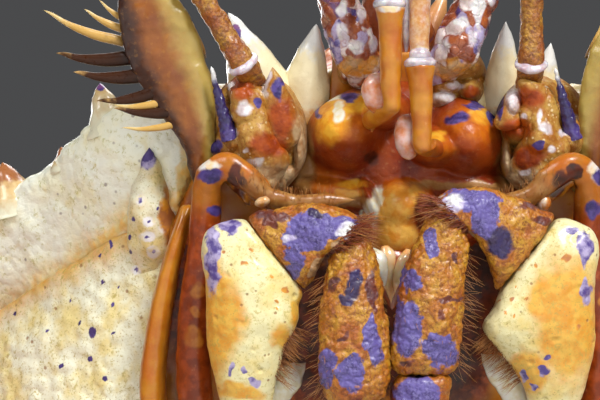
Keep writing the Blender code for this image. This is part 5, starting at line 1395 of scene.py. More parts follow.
def makeAntenna(sideName, hand):
    look = antennas[sideName]
    bend, cx, wide = np.array(look["bend"]), look["centre"], look["wide"]
    start, top = np.array(fromPicture(*look["start"])), np.array(fromPicture(*look["top"]))
    root = limb(rings([
        (cx, 5.0, -15.0, wide * 0.86, 4.2, 0, 0, 1), (cx, 5.0, -9.5, wide, 4.4, 0, 0, 1),
        (cx, 5.6, -6.6, wide * 0.95, 4.2, 0, 0.35, 0.94),
        (cx + hand * 0.2, 8.4, -5.4, wide * 0.8, 3.4, hand * 0.06, 0.85, 0.5),
        ((cx + bend[0]) / 2, 12.0, -5.4, wide * 0.66, 2.8, hand * 0.1, 1, 0),
        (bend[0], bend[1] - 1.6, bend[2] - 0.4, 2.1, 2.1, hand * 0.1, 1, 0),
    ]), (1, 0, 0), 90, 110, 0.6)
    root = raised(root, 0.6 * grains(root, 3.0, 71, 0.55) + 0.25 * cloud(root, 1.8, 72) - 0.3)
    low, tipWay = face(*fromPicture(*look["cone"])), faceWay(*look["coneWay"])
    cone = limb([(low + tipWay * look["tall"] * k, look["fat"] * r, look["fat"] * r * 0.85) for k, r in (
        (-0.34, 0), (-0.2, 0.7), (0, 1), (0.3, 0.93), (0.62, 0.62), (0.86, 0.3), (1, 0))], (1, 0, 0), 56, 60)
    cone = raised(cone, 0.15 * cloud(cone, 1.4, 73))
    mass = antennas["mass"][sideName]
    domes = fleshy(mass["middle"], mass["reach"], mass["lumps"], mass["floor"], 0.3, 0.16)
    grids = [root, domes, cone]
    marks = stained(antennas, ("deep", "grey", "milkAndHighlight", "violet"), grids, 2.6)
    build(f"antennaRoot_{sideName}", grids, paints["root"], marks, f"antenna_root_{sideName}")
    low, high = (face(*fromPicture(*p)) for p in look["blade"])
    blade = spike(low, high - low, float(np.linalg.norm(high - low)), 1.05, 1.6, 40, 50, 0.1)
    blade = raised(blade, 0.20 * grains(blade, 0.7, 74, 0.6))
    build(f"violetSpine_{sideName}", [blade], paints["violetSpine"], risen([blade]))
    way = unit(top - start)
    stem = limb(rings([
        (*(start - way * 3.6 + [0, 0, -3.2]), 1.5, 1.4, *way), (*(start - way * 0.4), 1.75, 1.7, *way),
        (*(start + way * 3), 1.5, 1.5, *way), (*(top - way * 1.5), 1.65, 1.6, *way), (*top, 1.9, 1.85, *way),
    ]), (1, 0, 0), 56, 110, 0.5)
    stem = raised(stem, 0.14 * cloud(stem, 1.3, 75) + 0.10 * grains(stem, 0.8, 76, 0.6))
    points = [top + way * 0.4] + [np.array(p, dtype=float) for p in look["whip"]]
    radii = (1.5, 1.2, 0.9, 0.65, 0.35)
    whip = limb(rings([(*p, r, r) for p, r in zip(points, radii)]), (1, 0, 0), 18, 420, 0.3)
    whip = raised(whip, (0.07 * np.sin(np.linspace(0, 2 * math.pi * 90, len(whip))))[:, None])
    build(f"antennaShell_{sideName}", [stem, whip], paints["mottledStem"], {"rustAndShade": [0.45, 0.5]},
          f"antenna_{sideName}")
    cuffs = []
    for place, size in ((start - way * 0.2, 1.0), (top, 0.95)):
        lean = way + [0, 0, 0.4]
        cuffs.append(limb(rings([
            (*(place - way * 0.8), 1.9 * size, 1.9 * size, *lean), (*place, 2.15 * size, 2.3 * size, *lean),
            (*(place + way * 0.6), 1.8 * size, 1.9 * size, *lean),
        ]), (1, 0, 0), 48, 30, 0.5))
    build(f"antennaCuff_{sideName}", [raised(g, 0.12 * cloud(g, 1.0, 77)) for g in cuffs], paints["cuff"])
    makeScale(sideName, hand)


def makeScale(sideName, hand):
    # a leaf with a raised middle and thick edge, and long flattened spines that bend towards their tips
    leaf = limb(rings([
        (25.9, 2.4, -14.6, 1.5, 1.5, 0, 0, 1), (26.0, 3.2, -10.0, 1.7, 1.6, 0, 0.4, 0.9),
        (26.8, 8.4, -7.2, 2.5, 1.5, 0.25, 1, 0.2), (28.9, 14.6, -6.4, 4.2, 1.4, 0.38, 1, 0),
        (31.2, 20.0, -5.8, 5.0, 1.4, 0.38, 1, 0), (33.0, 25.0, -5.2, 4.3, 1.3, 0.38, 1, 0),
        (34.8, 30.0, -5.0, 2.4, 1.1, 0.38, 1, 0), (35.8, 33.6, -5.0, 0, 0, 0.38, 1, 0),
    ], hand), (1, 0, 0), 80, 110, 0.5)
    leaf = raised(leaf, 0.25 * cloud(leaf, 2.4, 81) + 0.12 * grains(leaf, 1.3, 82, 0.5))
    across = hand * np.cos(np.linspace(0, 2 * math.pi, leaf.shape[1], endpoint=False))
    inner = np.broadcast_to(np.clip(0.30 - across * 0.75, 0, 1)[None], leaf.shape[:2])
    outer = np.broadcast_to(np.clip(0.10 + across * 1.1, 0, 1)[None], leaf.shape[:2])
    build(f"scaleShell_{sideName}", [leaf], paints["leaf"], {"milkAndHighlight": [inner], "deep": [outer]},
          f"antenna_scale_{sideName}")
    spikes = {True: [], False: []}
    for rootX, rootY, tipX, tipY, half, dark in scaleSpines:
        root, tip = np.array(fromPicture(rootX, rootY, -6.4)), np.array(fromPicture(tipX, tipY, -5.4))
        root[0], tip[0] = -hand * root[0], -hand * tip[0]
        way = tip - root
        bow = np.array([0, -0.05 * np.linalg.norm(way), 0])
        half = half * 1.25 if dark else half
        deep = np.array([0, 0, -0.9 if dark else -2.6])
        shape = [(root - way * 0.2 + deep, half * 0.5), (root + way * 0.04 + deep * 0.2, half * 0.9),
                 (root + way * 0.4 + bow, half * 0.84), (root + way * 0.72 + bow * 0.9, half * 0.48),
                 (tip - way * 0.04, half * 0.12), (tip, 0)]
        stations = rings([(*p, r, r * 0.7) for p, r in shape])
        spikes[dark].append(limb(stations, faceWay(-way[1], way[0], 0), 22, 34, 0.3))
    # dark spines: dark brown with painted shade; pale spines: painted highlights along the dark ones' lit
    # edges
    for dark, paint in ((True, "scaleSpine"), (False, "spineHighlight")):
        some = spikes[dark]
        build(f"scaleSpines_{paint}_{sideName}", some, paints[paint], risen(some))


paints["mottledStem"] = orangeShell("antennaStemShell", 0.8, 0.7)
paints["cuff"] = plainWet("antennaCuff", (0.66, 0.63, 0.68), (0.46, 0.30, 0.34), 1.6, 0.24, 0.5, 0.2)
paints["leaf"] = leafShell("leafShell")
for sideName, hand in hands:
    makeEye(sideName)
    makeAntennule(sideName)
    makeAntenna(sideName, hand)
print("eyes and feelers made")


# Outer mouthparts

mouthpart = {
    "merusJoint": ((-16.3, -6.9, 1.2), (0.787, 0.617, 0.0)),
    "palpJoint": (-6.9, -5.3, 3.4), "palpWay": (0.55, -0.83, 0.0),
    "lift": {"right": 0.0, "left": 3.0},
}
markings = {
    "merus_right": {
        "violet": [(214, 258, 7, 34), (230, 224, 11, 9), (231, 370, 3, 8), (241, 371, 3, 3),
                   (251, 381, 6, 5)],
        "rustAndShade": [(225, 252, 3, 3), (250, 250, 2, 2), (245, 266, 2, 2), (270, 272, 3, 2), (283, 287, 3, 2),
                 (275, 302, 2, 2), (276, 308, 2, 2)],
        "amber": [(214, 318, 18, 60), (228, 322, 18, 34), (298, 306, 5, 30), (284, 336, 10, 10),
                  (238, 392, 26, 8)]},
    "merus_left": {
        "violet": [(584, 248, 8, 18), (570, 228, 7, 5), (587, 292, 5, 11), (548, 358, 5, 3), (544, 371, 6, 4),
                   (525, 377, 4, 4), (533, 387, 5, 3)],
        "rustAndShade": [(520, 273, 3, 2), (542, 267, 3, 2), (563, 255, 4, 3), (513, 297, 3, 3), (503, 311, 2, 2),
                 (514, 315, 2, 2), (533, 259, 2, 2), (519, 286, 1.5, 1.5), (580, 330, 2, 2),
                 (504, 292, 1.5, 1.5), (498, 300, 1.5, 1.5), (528, 300, 1.5, 1.5)],
        "amber": [(568, 320, 32, 66), (545, 300, 16, 20), (530, 372, 22, 22)]},
    "carpus_right": {
        "violet": [(326, 226, 34, 14), (306, 238, 22, 12), (294, 262, 12, 14)], "dots": [(318, 214, 6, 4)],
        "milkAndHighlight": [(345, 230, 10, 7), (292, 238, 7, 5)], "rustAndShade": [(276, 216, 22, 5), (270, 224, 8, 4)],
        "tan": [(340, 252, 14, 10), (322, 272, 10, 16)]},
    "carpus_left": {
        "violet": [(474, 200, 30, 12), (488, 218, 16, 22), (450, 219, 10, 6)], "dots": [(499, 244, 15, 16)],
        "milkAndHighlight": [(450, 204, 12, 7), (452, 218, 6, 3)], "rustAndShade": [(536, 208, 18, 4), (545, 222, 10, 5)],
        "tan": [(470, 250, 6, 20)]},
    "propodus_right": {
        "violet": [(374, 344, 9, 24), (328, 370, 9, 20), (351, 374, 13, 18), (368, 322, 5, 12)],
        "dots": [(357, 284, 8, 14), (350, 298, 6, 5)],
        # the long dark patch at the right edge is painted shade on its shadowed side; the small ones are dots
        "rustAndShade": [(334, 284, 6, 7), (374, 290, 5, 22), (344, 338, 6, 4)]},
    "propodus_left": {
        "violet": [(413, 280, 13, 11), (407, 325, 18, 28), (438, 350, 18, 19), (433, 244, 5, 15)],
        "rustAndShade": [(458, 258, 6, 6), (452, 300, 9, 3), (446, 314, 4, 5), (404, 362, 8, 5)],
        "tan": [(466, 330, 3, 10)]},
    "dactyl_left": {"violet": [(416, 392, 24, 18)], "rustAndShade": [(392, 395, 6, 20)]},
    "dactyl_right": {"violet": [(345, 420, 24, 18)]},
}
exopodMarks = {
    "milkAndHighlight": [(207, 166, 11, 6), (598, 172, 10, 12)],
    "violet": [(208, 176, 12, 6), (600, 178, 10, 8), (592, 212, 9, 9), (215, 209, 9, 7), (227, 211, 6, 6)],
    "rustAndShade": [(234, 178, 7, 16), (243, 188, 7, 14), (250, 200, 4, 6), (564, 186, 12, 14), (575, 172, 8, 8)],
    "spots": [(197, 290, 6, 8), (198, 313, 5, 6), (193, 337, 9, 10), (603, 300, 6, 8)],
}
exopodLumps = {
    "right": [("redKnob", (257, 188, -4.0), (13, 25, 1.5), 35, 0.2),
              ("redKnob", (240, 184, -4.4), (8, 24, 1.3), 28, 0.2),
              ("whiteKnob", (262, 202, -1.6), (8, 5, 0.8), 20, 0.1)],
    "left": [("redKnob", (562, 182, -3.8), (10, 36, 1.5), -50, 0.2),
             ("whiteKnob", (544, 203, -2.4), (7, 9, 1.0), -10, 0.1)],
}
skins = {}


def makeMaxilliped(sideName, hand):
    # one outer mouthpart, from its root at the lower end to the tip of its palp, then its side branch
    def dress(part, grid, paint):
        found = markings[f"{part}_{sideName}"]
        names = [name for name in ("violet", "dots", "amber", "milkAndHighlight", "rustAndShade", "tan") if name in found]
        build(f"{part}Shell_{sideName}", [grid], paints[paint], stained(found, names, [grid], 4.0),
              f"maxilliped_{part}_{sideName}")

    lift = mouthpart["lift"][sideName]
    (jx, jy, jz), jointWay = mouthpart["merusJoint"]
    across, upwards = faceWay(-hand, 0, 0), faceWay(0, 1, 0)
    foot = limb(rings([
        (-12.5, -34.5, -14.6, 3.6, 3.6, 0, 0, 1), (-12.8, -34.3, -8.5, 3.4, 3.4, 0, 0, 1),
        (-14.6, -32.8, -4.4, 3.4, 3.4, -0.5, 0.35, 0.8), (-17.4, -30.6, -1.8, 3.2, 3.2, -0.7, 0.65, 0.4),
        (-19.3, -28.6, -0.7, 2.6, 2.6, -0.3, 0.93, 0.2),
    ], -hand), (1, 0, 0), 56, 80, 0.5)
    higher = lift * 0.4
    crest = limb(rings([
        (-17.8 + higher, -29.4, -3.6, 1.4, 1.4), (-16.0 + higher, -25.4 + higher, -3.6, 2.0, 1.6),
        (-14.0 + higher, -23.1 + higher, -3.6, 1.7, 1.4), (-12.2 + higher, -21.6 + higher, -4.2, 0, 0),
    ], -hand), (1, 0, 0), 36, 50, 0.4)
    crest = raised(crest, 0.12 * cloud(crest, 1.0, 91))
    build(f"ischiumShell_{sideName}", [raised(foot, 0.15 * cloud(foot, 1.6, 92)), crest], paints["enamel"],
          None, f"maxilliped_ischium_{sideName}")
    more = lift * 0.28
    merus = limb(rings([
        (-19.4, -28.2, -0.5, 2.6, 2.6, -0.3, 0.93, 0.2), (-19.9, -25.2, 0.3, 3.5, 2.9, -0.05, 1, 0),
        (-20.1 + more * 1.2, -19.5, 1.2, 4.8 + more * 1.2, 3.5, 0.12, 1, 0),
        (-19.2 + more * 1.7, -13.6, 1.6, 6.3 + more * 1.7, 3.9, 0.36, 0.93, 0),
        (-19.0 + more * 1.0, -8.6 - more * 0.4, 1.4, 7.5 + more, 3.5, 0.64, 0.77, 0),
        (jx - 0.12, jy - 0.1, jz, 6.2, 2.9, *jointWay),
    ], -hand), across, 140, 150, 0.9, 2.5)
    pits = grains(merus, 2.6, 93, 0.16)
    merus = raised(merus, 0.22 * cloud(merus, 3.0, 94) + 0.07 * cloud(merus, 0.8, 95) - 0.22 * pits)
    dress("merus", merus, "merus")
    px, py, pz = mouthpart["palpJoint"]
    px, py = px + lift * 0.35, py + lift
    carpus = limb(rings([
        (jx + 0.12, jy + 0.1, jz, 6.1, 2.8, *jointWay),
        (-13.4, -5.8 + lift * 0.3, 2.0, 5.2, 3.1, 0.95, 0.3, 0),
        (-10.2, -4.6 + lift * 0.7, 2.8, 4.0, 3.1, 1, -0.1, 0),
        (-8.1 + lift * 0.2, -4.3 + lift * 0.9, 3.2, 3.1, 2.8, 0.85, -0.5, 0),
        (px - 0.08, py + 0.12, pz, 2.7, 2.6, *mouthpart["palpWay"]),
    ], -hand), upwards, 120, 120, 0.7, 2.2)
    bumps = 0.30 * cloud(carpus, 2.0, 96) + 0.16 * grains(carpus, 0.9, 97, 0.6)
    carpus = raised(carpus, bumps + 0.08 * cloud(carpus, 0.5, 98))
    dress("carpus", carpus, "palp")
    bottom = -25.6 + lift * 1.15
    endX = -6.1 + lift * 1.1
    propodus = limb(rings([
        (px + 0.08, py - 0.12, pz, 2.6, 2.6, *mouthpart["palpWay"]),
        (px + 0.5, py - 2.8, 4.0, 3.2, 2.9, 0.2, -1, 0),
        (-6.3 + lift * 0.8, py - 7.0, 4.6, 3.9, 3.2, 0, -1, 0),
        (-6.2 + lift * 0.95, (py + bottom) / 2 - 3.4, 4.9, 4.3, 3.3, 0, -1, 0),
        (endX, bottom + 3.0, 4.8, 4.3, 3.1, 0, -1, 0), (endX, bottom + 0.15, 4.6, 3.6, 2.6, 0, -1, 0),
    ], -hand), across, 120, 150, 1.0, 2.2)
    bumps = 0.26 * cloud(propodus, 2.2, 99) + 0.22 * grains(propodus, 0.9, 100, 0.6)
    propodus = raised(propodus, bumps + 0.12 * cloud(propodus, 0.5, 101) - 0.1)
    dress("propodus", propodus, "palp")
    dactyl = limb(rings([
        (endX, bottom - 0.15, 4.6, 3.5, 2.5, 0, -1, 0),
        (endX + lift * 0.2, bottom - 3.0, 4.5, 3.6, 2.6, 0, -1, 0),
        (endX + lift * 0.2 - 0.2, bottom - 7.0, 3.8, 2.7, 2.1, -0.05, -1, -0.2),
        (endX - 0.5, bottom - 11.0, 2.6, 0, 0, -0.1, -1, -0.3),
    ], -hand), across, 90, 90, 1.0, 2.2)
    dactyl = raised(dactyl, 0.25 * cloud(dactyl, 1.6, 102) + 0.16 * grains(dactyl, 1.0, 103, 0.6))
    dress("dactyl", dactyl, "palp")
    stem = limb(rings([
        (-25.0, -33.0, -14.6, 2.2, 2.2, 0, 0, 1), (-25.4, -32.4, -9.4, 2.2, 2.2, 0, 0.6, 0.8),
        (-26.8, -28.0, -7.0, 2.3, 2.2, 0, 1, 0.2), (-27.1, -17.0, -6.6, 2.4, 2.1, 0.05, 1, 0),
        (-25.8, -6.0, -5.8, 2.2, 2.0, 0.08, 1, 0), (-25.4, 0.2, -4.4, 2.0, 1.8, 0.1, 0.9, 0),
        (-24.9, 3.0, -3.0, 1.9, 1.5, 0.6, 0.8, 0), (-22.8, 4.4, -2.0, 1.9, 1.4, 1, 0.0, 0),
        (-20.0, 2.9, -1.8, 1.7, 1.3, 0.8, -0.6, 0), (-17.2, 0.5, -2.4, 1.3, 1.1, 0.85, -0.5, 0),
        (-14.0, -0.3, -2.9, 1.1, 0.9, 1, -0.05, 0), (-8.6, -0.1, -3.2, 0.9, 0.7, 1, 0, 0),
        (-5.6, 0.0, -3.4, 0, 0, 1, 0, 0),
    ], -hand), across, 56, 230, 0.5, turning=True)
    share = np.linspace(0, 1, len(stem))[:, None]
    bands = 0.012 * np.sin(share * 2 * math.pi * 60) * (share > 0.76)
    stem = raised(stem, 0.12 * cloud(stem, 1.4, 104) + bands)
    deep = np.broadcast_to(np.clip((0.66 - share) / 0.10, 0.40, 0.95), stem.shape[:2])
    marks = {"deep": [deep], **stained(exopodMarks, ("milkAndHighlight", "violet", "rustAndShade", "spots"), [stem], 3.0)}
    marks["tan"] = [np.broadcast_to(np.clip((share - 0.74) / 0.06, 0, 0.9), stem.shape[:2])]
    build(f"exopodShell_{sideName}", [stem], paints["exopod"], marks, f"maxilliped_exopod_{sideName}")
    for i, (paint, *part) in enumerate(exopodLumps[sideName]):
        lump = pebble(*part)
        streaks = np.clip(0.5 + 0.5 * cloud(lump * [1, 1, 0.4], 1.0, 106), 0, 1)
        marks = {"milkAndHighlight" if paint == "whiteKnob" else "rustAndShade": [streaks]}
        build(f"exopodLump{i}_{sideName}", [lump], paints[paint], marks)
    skins[sideName] = {"merus": merus, "carpus": carpus, "propodus": propodus, "ischium": crest,
                       "exopod": stem}


paints["exopod"] = smoothOrange("exopodShell", (0.21, 0.030, 0.002), 0.22)
for sideName, hand in hands:
    makeMaxilliped(sideName, hand)
print("mouthparts made")


# Walking legs and claws

legs = {
    "leg_1": (1, 20, [(22, 57), (50, 65), (80, 83), (111, 76), (141, 35), (160, 0)]),
    "leg_2": (2, -6, [(22, 47.5), (50, 53), (81, 75), (113, 68), (144, 30), (162, 0)]),
    "leg_3": (3, -34, [(20, 38), (48, 34.5), (83, 57), (112, 53), (140, 24), (155, 0)]),
}
claws = {
    "size": {"right": 1.0, "left": 0.84},
    "low": (52, -38, -42),              # where the arm bends down, in the level body
    "elbow": (86, -64, 62),
    "wrist": (97, -101, 55),
    "hinge": (90, 50, 26),              # across, then how far in front of the wrist and below it
    "tip": (78, 84, 45),
}


def facet(number, hand, height, share=0.5):
    (x0, y0), (x1, y1) = belly["thorax"][number], belly["thorax"][number + 1]
    way = bodyWay(hand * (y1 - y0), -(x1 - x0), 0)
    return body(hand * (x0 + (x1 - x0) * share), y0 + (y1 - y0) * share, height), way


def knobRow(start, end, up, count, length, radius, depth, chance):
    along = unit(end - start)
    made = []
    for i in range(count):
        share = (i + 0.8) / (count + 0.6)
        size = radius * chance.uniform(0.85, 1.1)
        tall = length * chance.uniform(0.8, 1.15)
        grid = spike(start + (end - start) * share + up * depth, up + along * 0.35, tall, size, 2.2, 14, 10,
                     0.35)
        made.append(roughened(grid, 0.15, 1.2, 111))
    return made


def shellSkin(stations, side, edge=1.2, around=68, along=72, power=2.2):
    # a leg or claw piece with lumps, grains and a swollen end
    grid = limb(stations, side, around, along, edge, power)
    lumps = 0.7 * cloud(grid, 7, 112) + 0.35 * cloud(grid, 3, 113)
    beads = 0.55 * grains(grid, 4.6, 114, 0.42) + 0.22 * grains(grid, 2.0, 115, 0.5)
    return raised(grid, lumps * 0.7 + beads - 0.5)


def makeLeg(name, sideName, hand):
    number, turn, profile = legs[name]
    root, rootWay = facet(number, hand, -32)
    turn = math.radians(turn)
    outward = np.array([hand * math.cos(turn), -math.sin(turn), 0])
    chance = random.Random(number * 10 + (hand > 0))
    p = [root] + [root * [1, 1, 0] + outward * reach + [0, 0, z] for reach, z in profile]
    across = np.cross(outward, (0, 0, 1))
    kneeWay = unit(unit(p[3] - p[2]) + unit(p[4] - p[3]))
    toeWay = unit(unit(p[5] - p[4]) + unit(p[6] - p[5]))
    up = np.cross(across, outward)
    up = up * np.sign(up[2])
    thigh = shellSkin([
        (root + rootWay * 0.3, 8.6, 7.8, rootWay), (p[1], 8.6, 8.6), ((p[1] + p[2]) / 2, 9.6, 9.4),
        (p[2], 10.6, 10.6), (p[2] + (p[3] - p[2]) * 0.6, 11.2, 11.4),
        (p[3] - kneeWay * 0.15, 9.6, 9.4, kneeWay),
    ], across)
    rows = []
    for lean in (-0.55, 0.55):
        rows += knobRow(p[2] + (p[1] - p[2]) * 0.1, p[3], unit(up + across * lean), 4, 3.4, 2.5, 8.8, chance)
    shin = shellSkin([
        (p[3] + kneeWay * 0.15, 9.4, 9.2, kneeWay), ((p[3] + p[4]) / 2, 10.6, 11.2), (p[4], 9.4, 9.6),
        (p[4] + (p[5] - p[4]) * 0.3, 9.0, 9.8), (p[4] + (p[5] - p[4]) * 0.7, 8.4, 8.8),
        (p[5] - toeWay * 0.15, 6.6, 6.8, toeWay),
    ], across, along=88)
    for lean in (-0.55, 0.55):
        rows += knobRow(p[3], p[4], unit(up + across * lean + outward * 0.25), 3, 3.4, 2.5, 9.6, chance)
        low = unit(up * 0.5 + across * lean + outward * 0.8)
        rows += knobRow(p[4] + (p[5] - p[4]) * 0.1, p[5], low, 4, 2.8, 2.2, 7.4, chance)
    down = np.array([0, 0, -1.0])
    foot = np.array([p[6][0], p[6][1], 0])
    tip = limb([
        (p[5] + toeWay * 0.15, 6.4, 6.6, toeWay), (p[5] + (p[6] - p[5]) * 0.35, 5.4, 6.0),
        (p[5] + (p[6] - p[5]) * 0.7, 3.6, 4.0), (foot + np.array([0, 0, 1.4]), 2.5, 2.7, down),
        (foot, 2.0, 2.0, down),
    ], across, 56, 64, 0.4)
    height = 0.3 * cloud(tip, 3, 116) + 0.2 * grains(tip, 2.2, 117, 0.5)
    tip = raised(tip, height * np.clip(tip[..., 2] / 6, 0, 1) - 0.45)
    tip[..., 2] = np.maximum(tip[..., 2], 0.0)
    for part, node, grid, low in (("thigh", "merus", thigh, -up), ("shin", "shin", shin, -up - outward)):
        build(f"{part}Shell_{name}_{sideName}", [grid], paints["legs"], {"pale": [bellySide(grid, low)]},
              f"{name}_{sideName}_{node}")
    build(f"toeShell_{name}_{sideName}", [tip], paints["claw"], risen([tip]), f"{name}_{sideName}_dactyl")
    build(f"legKnobs_{name}_{sideName}", rows, paints["knob"], risen(rows))


def bellySide(grid, way):
    # pale on the side that faces way
    return np.clip(np.sum(outwards(grid) * unit(way), axis=-1) * 0.9 + 0.05, 0, 1)


def makeClaw(sideName, hand):
    size = claws["size"][sideName]
    root, rootWay = facet(0, hand, -33, 0.68)
    low = body(hand * claws["low"][0], *claws["low"][1:])
    wristY, wristZ = claws["wrist"][1:]
    places = [claws["elbow"], claws["wrist"]]
    for x, ahead, below in (claws["hinge"], claws["tip"]):
        places.append((x, wristY - ahead * size, wristZ - below * size))
    elbow, wrist, hinge, tips = (np.array([hand * x, y + pose["along"], z]) for x, y, z in places)
    elbowWay = unit(unit(elbow - low) + unit(wrist - elbow))
    wristWay = unit(unit(wrist - elbow) + unit(hinge - wrist))
    along = unit(tips - hinge)
    side = unit((hand, 0.2, 0))
    up = np.cross(side, along)
    up = up * np.sign(up[2])
    chance = random.Random(40 + (hand > 0))
    arm = shellSkin([
        (root + rootWay * 0.3, 7.0, 7.0, rootWay), (root + (low - root) * 0.45, 7.6, 7.6), (low, 9.0, 8.6),
        (low + (elbow - low) * 0.6, 11.0, 11.0), (elbow - elbowWay * 0.15, 9.6, 9.6, elbowWay),
    ], (0, 1, 0))
    rows = knobRow(low, elbow, unit((0, -0.3, 1)), 4, 3.6, 2.6, 8.4, chance)
    cuff = shellSkin([(elbow + elbowWay * 0.15, 9.4, 9.4, elbowWay), ((elbow + wrist) / 2, 12.5, 12.5),
                      (wrist - wristWay * 0.15, 10.0 * size, 11.0 * size, wristWay)], side)
    rows += knobRow(elbow, wrist, unit(up + side * 0.6), 3, 4.0, 2.8, 10.5, chance)
    rows += knobRow(elbow, wrist, unit(up - side * 0.4), 3, 4.0, 2.8, 10.5, chance)
    fixed = hinge - up * 6.5 * size
    palm = shellSkin([
        (wrist + wristWay * 0.15, 9.8 * size, 10.8 * size, wristWay),
        (wrist + (hinge - wrist) * 0.35, 12.5 * size, 17.0 * size),
        (wrist + (hinge - wrist) * 0.75, 12.0 * size, 17.5 * size),
        (fixed + (hinge - fixed) * 0.15, 10.5 * size, 13.0 * size, along),
        (fixed + (hinge - fixed) * 0.1 + along * 3 * size - up * 2.4 * size, 8.0 * size, 7.6 * size, along),
        (fixed + (tips - fixed) * 0.5 - up * 2.2 * size, 6.2 * size, 5.6 * size, along),
        (tips - up * 1.4 * size, 0, 0, along),
    ], side, along=120)
    for lean in (-0.5, 0.15, 0.8):
        rows += knobRow(wrist, hinge, unit(up + side * lean), 4, 4.0 * size, 2.8, 13.5 * size, chance)
    lift = hinge + up * 7.6 * size + along * 7.4 * size
    finger = shellSkin([
        (lift, 6.2 * size, 5.6 * size, along),
        (lift + along * 7 * size + up * 1.2 * size, 6.0 * size, 5.6 * size, along),
        (lift + (tips - lift) * 0.62 + up * 3.6 * size, 4.6 * size, 4.4 * size, along),
        (tips + up * 1.4 * size + along * 1.0, 0, 0, along),
    ], side)
    # the soft skin of the joint, from inside the palm to inside the finger's root
    jointSkin = limb([
        (hinge - along * 3.0 * size, 7.0 * size, 5.6 * size, along),
        (hinge + up * 3.2 * size + along * 3.0 * size, 6.6 * size, 5.8 * size),
        (lift + along * 2.4 * size + up * 0.2 * size, 5.4 * size, 4.8 * size, along),
    ], side, 48, 40, 1.0)
    jointSkin = raised(jointSkin, 0.2 * cloud(jointSkin, 2.0, 118))
    build(f"jointSkin_{sideName}", [jointSkin], paints["smooth"],
          {"rustAndShade": [0.35 + 0.3 * cloud(jointSkin, 4.0, 119)]})
    for part, grid, pale in (("arm", arm, bellySide(arm, (0, 0, -1))),
                             ("wrist", cuff, bellySide(cuff, (0, 0, -1))),
                             ("hand", palm, bellySide(palm, (-hand * 0.6, 0, -1))),
                             ("finger", finger, 0.7 * rise(finger))):
        build(f"{part}Shell_{sideName}", [grid], paints["legs"], {"pale": [pale]}, f"claw_{sideName}_{part}")
    build(f"clawKnobs_{sideName}", rows, paints["knob"], risen(rows))


for sideName, hand in hands:
    for name in legs:
        makeLeg(name, sideName, hand)
    makeClaw(sideName, hand)
print("legs and claws made")


# Setae: fine tapering hairs in tufts, each a thin three-sided cone that bends over

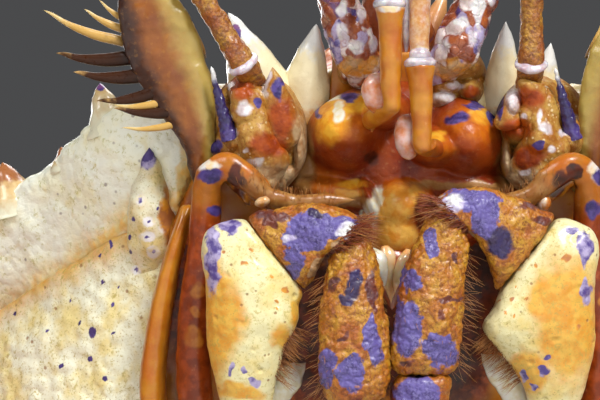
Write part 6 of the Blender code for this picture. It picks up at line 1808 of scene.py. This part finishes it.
def brush(name, skin, rows, cols, count, length, radius, lie, material, seed, spread=0.45, droop=0.4):
    # Roots are picked on the skin between the given shares of its rows and columns. A hair sets out between
    # the skin's outward way and the way it lies, and bends towards lie by droop.
    rng = np.random.default_rng(seed)
    r = (rng.uniform(*rows, count) * (len(skin) - 1)).astype(int)
    c = (rng.uniform(*cols, count) * skin.shape[1]).astype(int) % skin.shape[1]
    roots, normals = skin[r, c], outwards(skin)[r, c]
    lie = unit(lie)
    way = unit(normals * 0.6 + lie * 1.0 + rng.normal(0, spread, (count, 3)))
    tall = length * rng.uniform(0.55, 1.15, count)
    steps, sides = 6, 3
    u = np.linspace(0, 1, steps)
    middle = (roots - way * 0.3)[:, None] + way[:, None] * (tall[:, None] * u)[..., None]
    middle = middle + lie * (droop * tall[:, None] * u ** 2)[..., None]
    side = unit(np.cross(way, rng.normal(0, 1, (count, 3))))
    other = np.cross(way, side)
    turn = np.arange(sides) * 2 * math.pi / sides
    width = radius * (1 - u) ** 0.6 + 0.012
    ringShape = side[:, None] * np.cos(turn)[:, None] + other[:, None] * np.sin(turn)[:, None]
    points = middle[:, :, None] + ringShape[:, None] * width[:, None, None]
    n = steps * sides
    quads = []
    for i in range(steps - 1):
        for j in range(sides):
            k = (j + 1) % sides
            quads.append((i * sides + j, i * sides + k, (i + 1) * sides + k, (i + 1) * sides + j))
    caps = [(2, 1, 0), ((steps - 1) * sides, (steps - 1) * sides + 1, (steps - 1) * sides + 2)]
    faces = []
    for h in range(count):
        faces += [tuple(v + h * n for v in f) for f in quads + caps]
    mesh = bpy.data.meshes.new(name)
    mesh.from_pydata((points.reshape(-1, 3) * 0.001).tolist(), [], faces)
    up = np.tile(np.repeat(u, sides), count)
    mesh.attributes.new("rise", "FLOAT", "POINT").data.foreach_set("value", up)
    rootUv = np.column_stack([c / skin.shape[1], r / (len(skin) - 1)]) * 0.99
    within = np.column_stack([np.tile(np.arange(sides) / sides, steps), np.repeat(u, sides)]) * 0.003
    perPoint = (rootUv[:, None] + within[None]).reshape(-1, 2)
    corner = np.empty(len(mesh.loops), dtype=np.int64)
    mesh.loops.foreach_get("vertex_index", corner)
    mesh.uv_layers.new(name="OFBake").data.foreach_set("uv", perPoint[corner].reshape(-1))
    mesh.materials.append(material)
    mesh.shade_smooth()
    made = bpy.data.objects.new(name, mesh)
    bpy.context.scene.collection.objects.link(made)
    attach(made, "root")
    return made


# what each brush grows on, its share of the rows and columns, how many hairs, their length and radius, the
# way they lie (towards the middle, up, out), their paint, and how far they spread and droop
setae = {
    "palpTuft": ("carpus", (0.93, 0.985), (0.0, 1.0), 620, 2.2, 0.045, (1, 0.1, 0.1), "redHair", 0.30, 0.25),
    "palpTuftGold": ("carpus", (0.90, 0.99), (0.0, 1.0), 160, 3.2, 0.03, (1, -0.3, 0.1), "goldHair", 0.35,
                     0.3),
    "merusFringe": ("merus", (0.24, 0.62), (0.93, 1.05), 150, 2.0, 0.035, (1, -0.8, -0.2), "goldHair", 0.6,
                    0.6),
    "propodusFringe": ("propodus", (0.2, 0.97), (0.42, 0.58), 80, 2.0, 0.025, (-1, -0.9, 0.0), "goldHair",
                       0.75, 0.6),
    "ischiumFringe": ("ischium", (0.06, 0.34), (0.0, 1.0), 45, 2.0, 0.04, (1, -0.5, 0.1), "goldHair", 0.5,
                      0.4),
    "palpDown": ("propodus", (0.1, 0.95), (0.0, 1.0), 200, 1.1, 0.03, (0, -0.4, 0.8), "goldHair", 0.6, 0.3),
    "flagellumFringe": ("exopod", (0.76, 0.96), (0.0, 1.0), 220, 1.2, 0.03, (0, 1, 0.2), "goldHair", 0.3,
                        0.3),
}


def makeSetae():
    for sideName, hand in hands:
        for step, (name, look) in enumerate(setae.items()):
            skin, rows, cols, count, length, radius, (x, up, out), paint, spread, droop = look
            brush(f"{name}_{sideName}", skins[sideName][skin], rows, cols, count, length, radius,
                  faceWay(-hand * x, up, out), paints[paint], 200 + (hand > 0) + 10 * step, spread, droop)


makeSetae()
print("setae made")
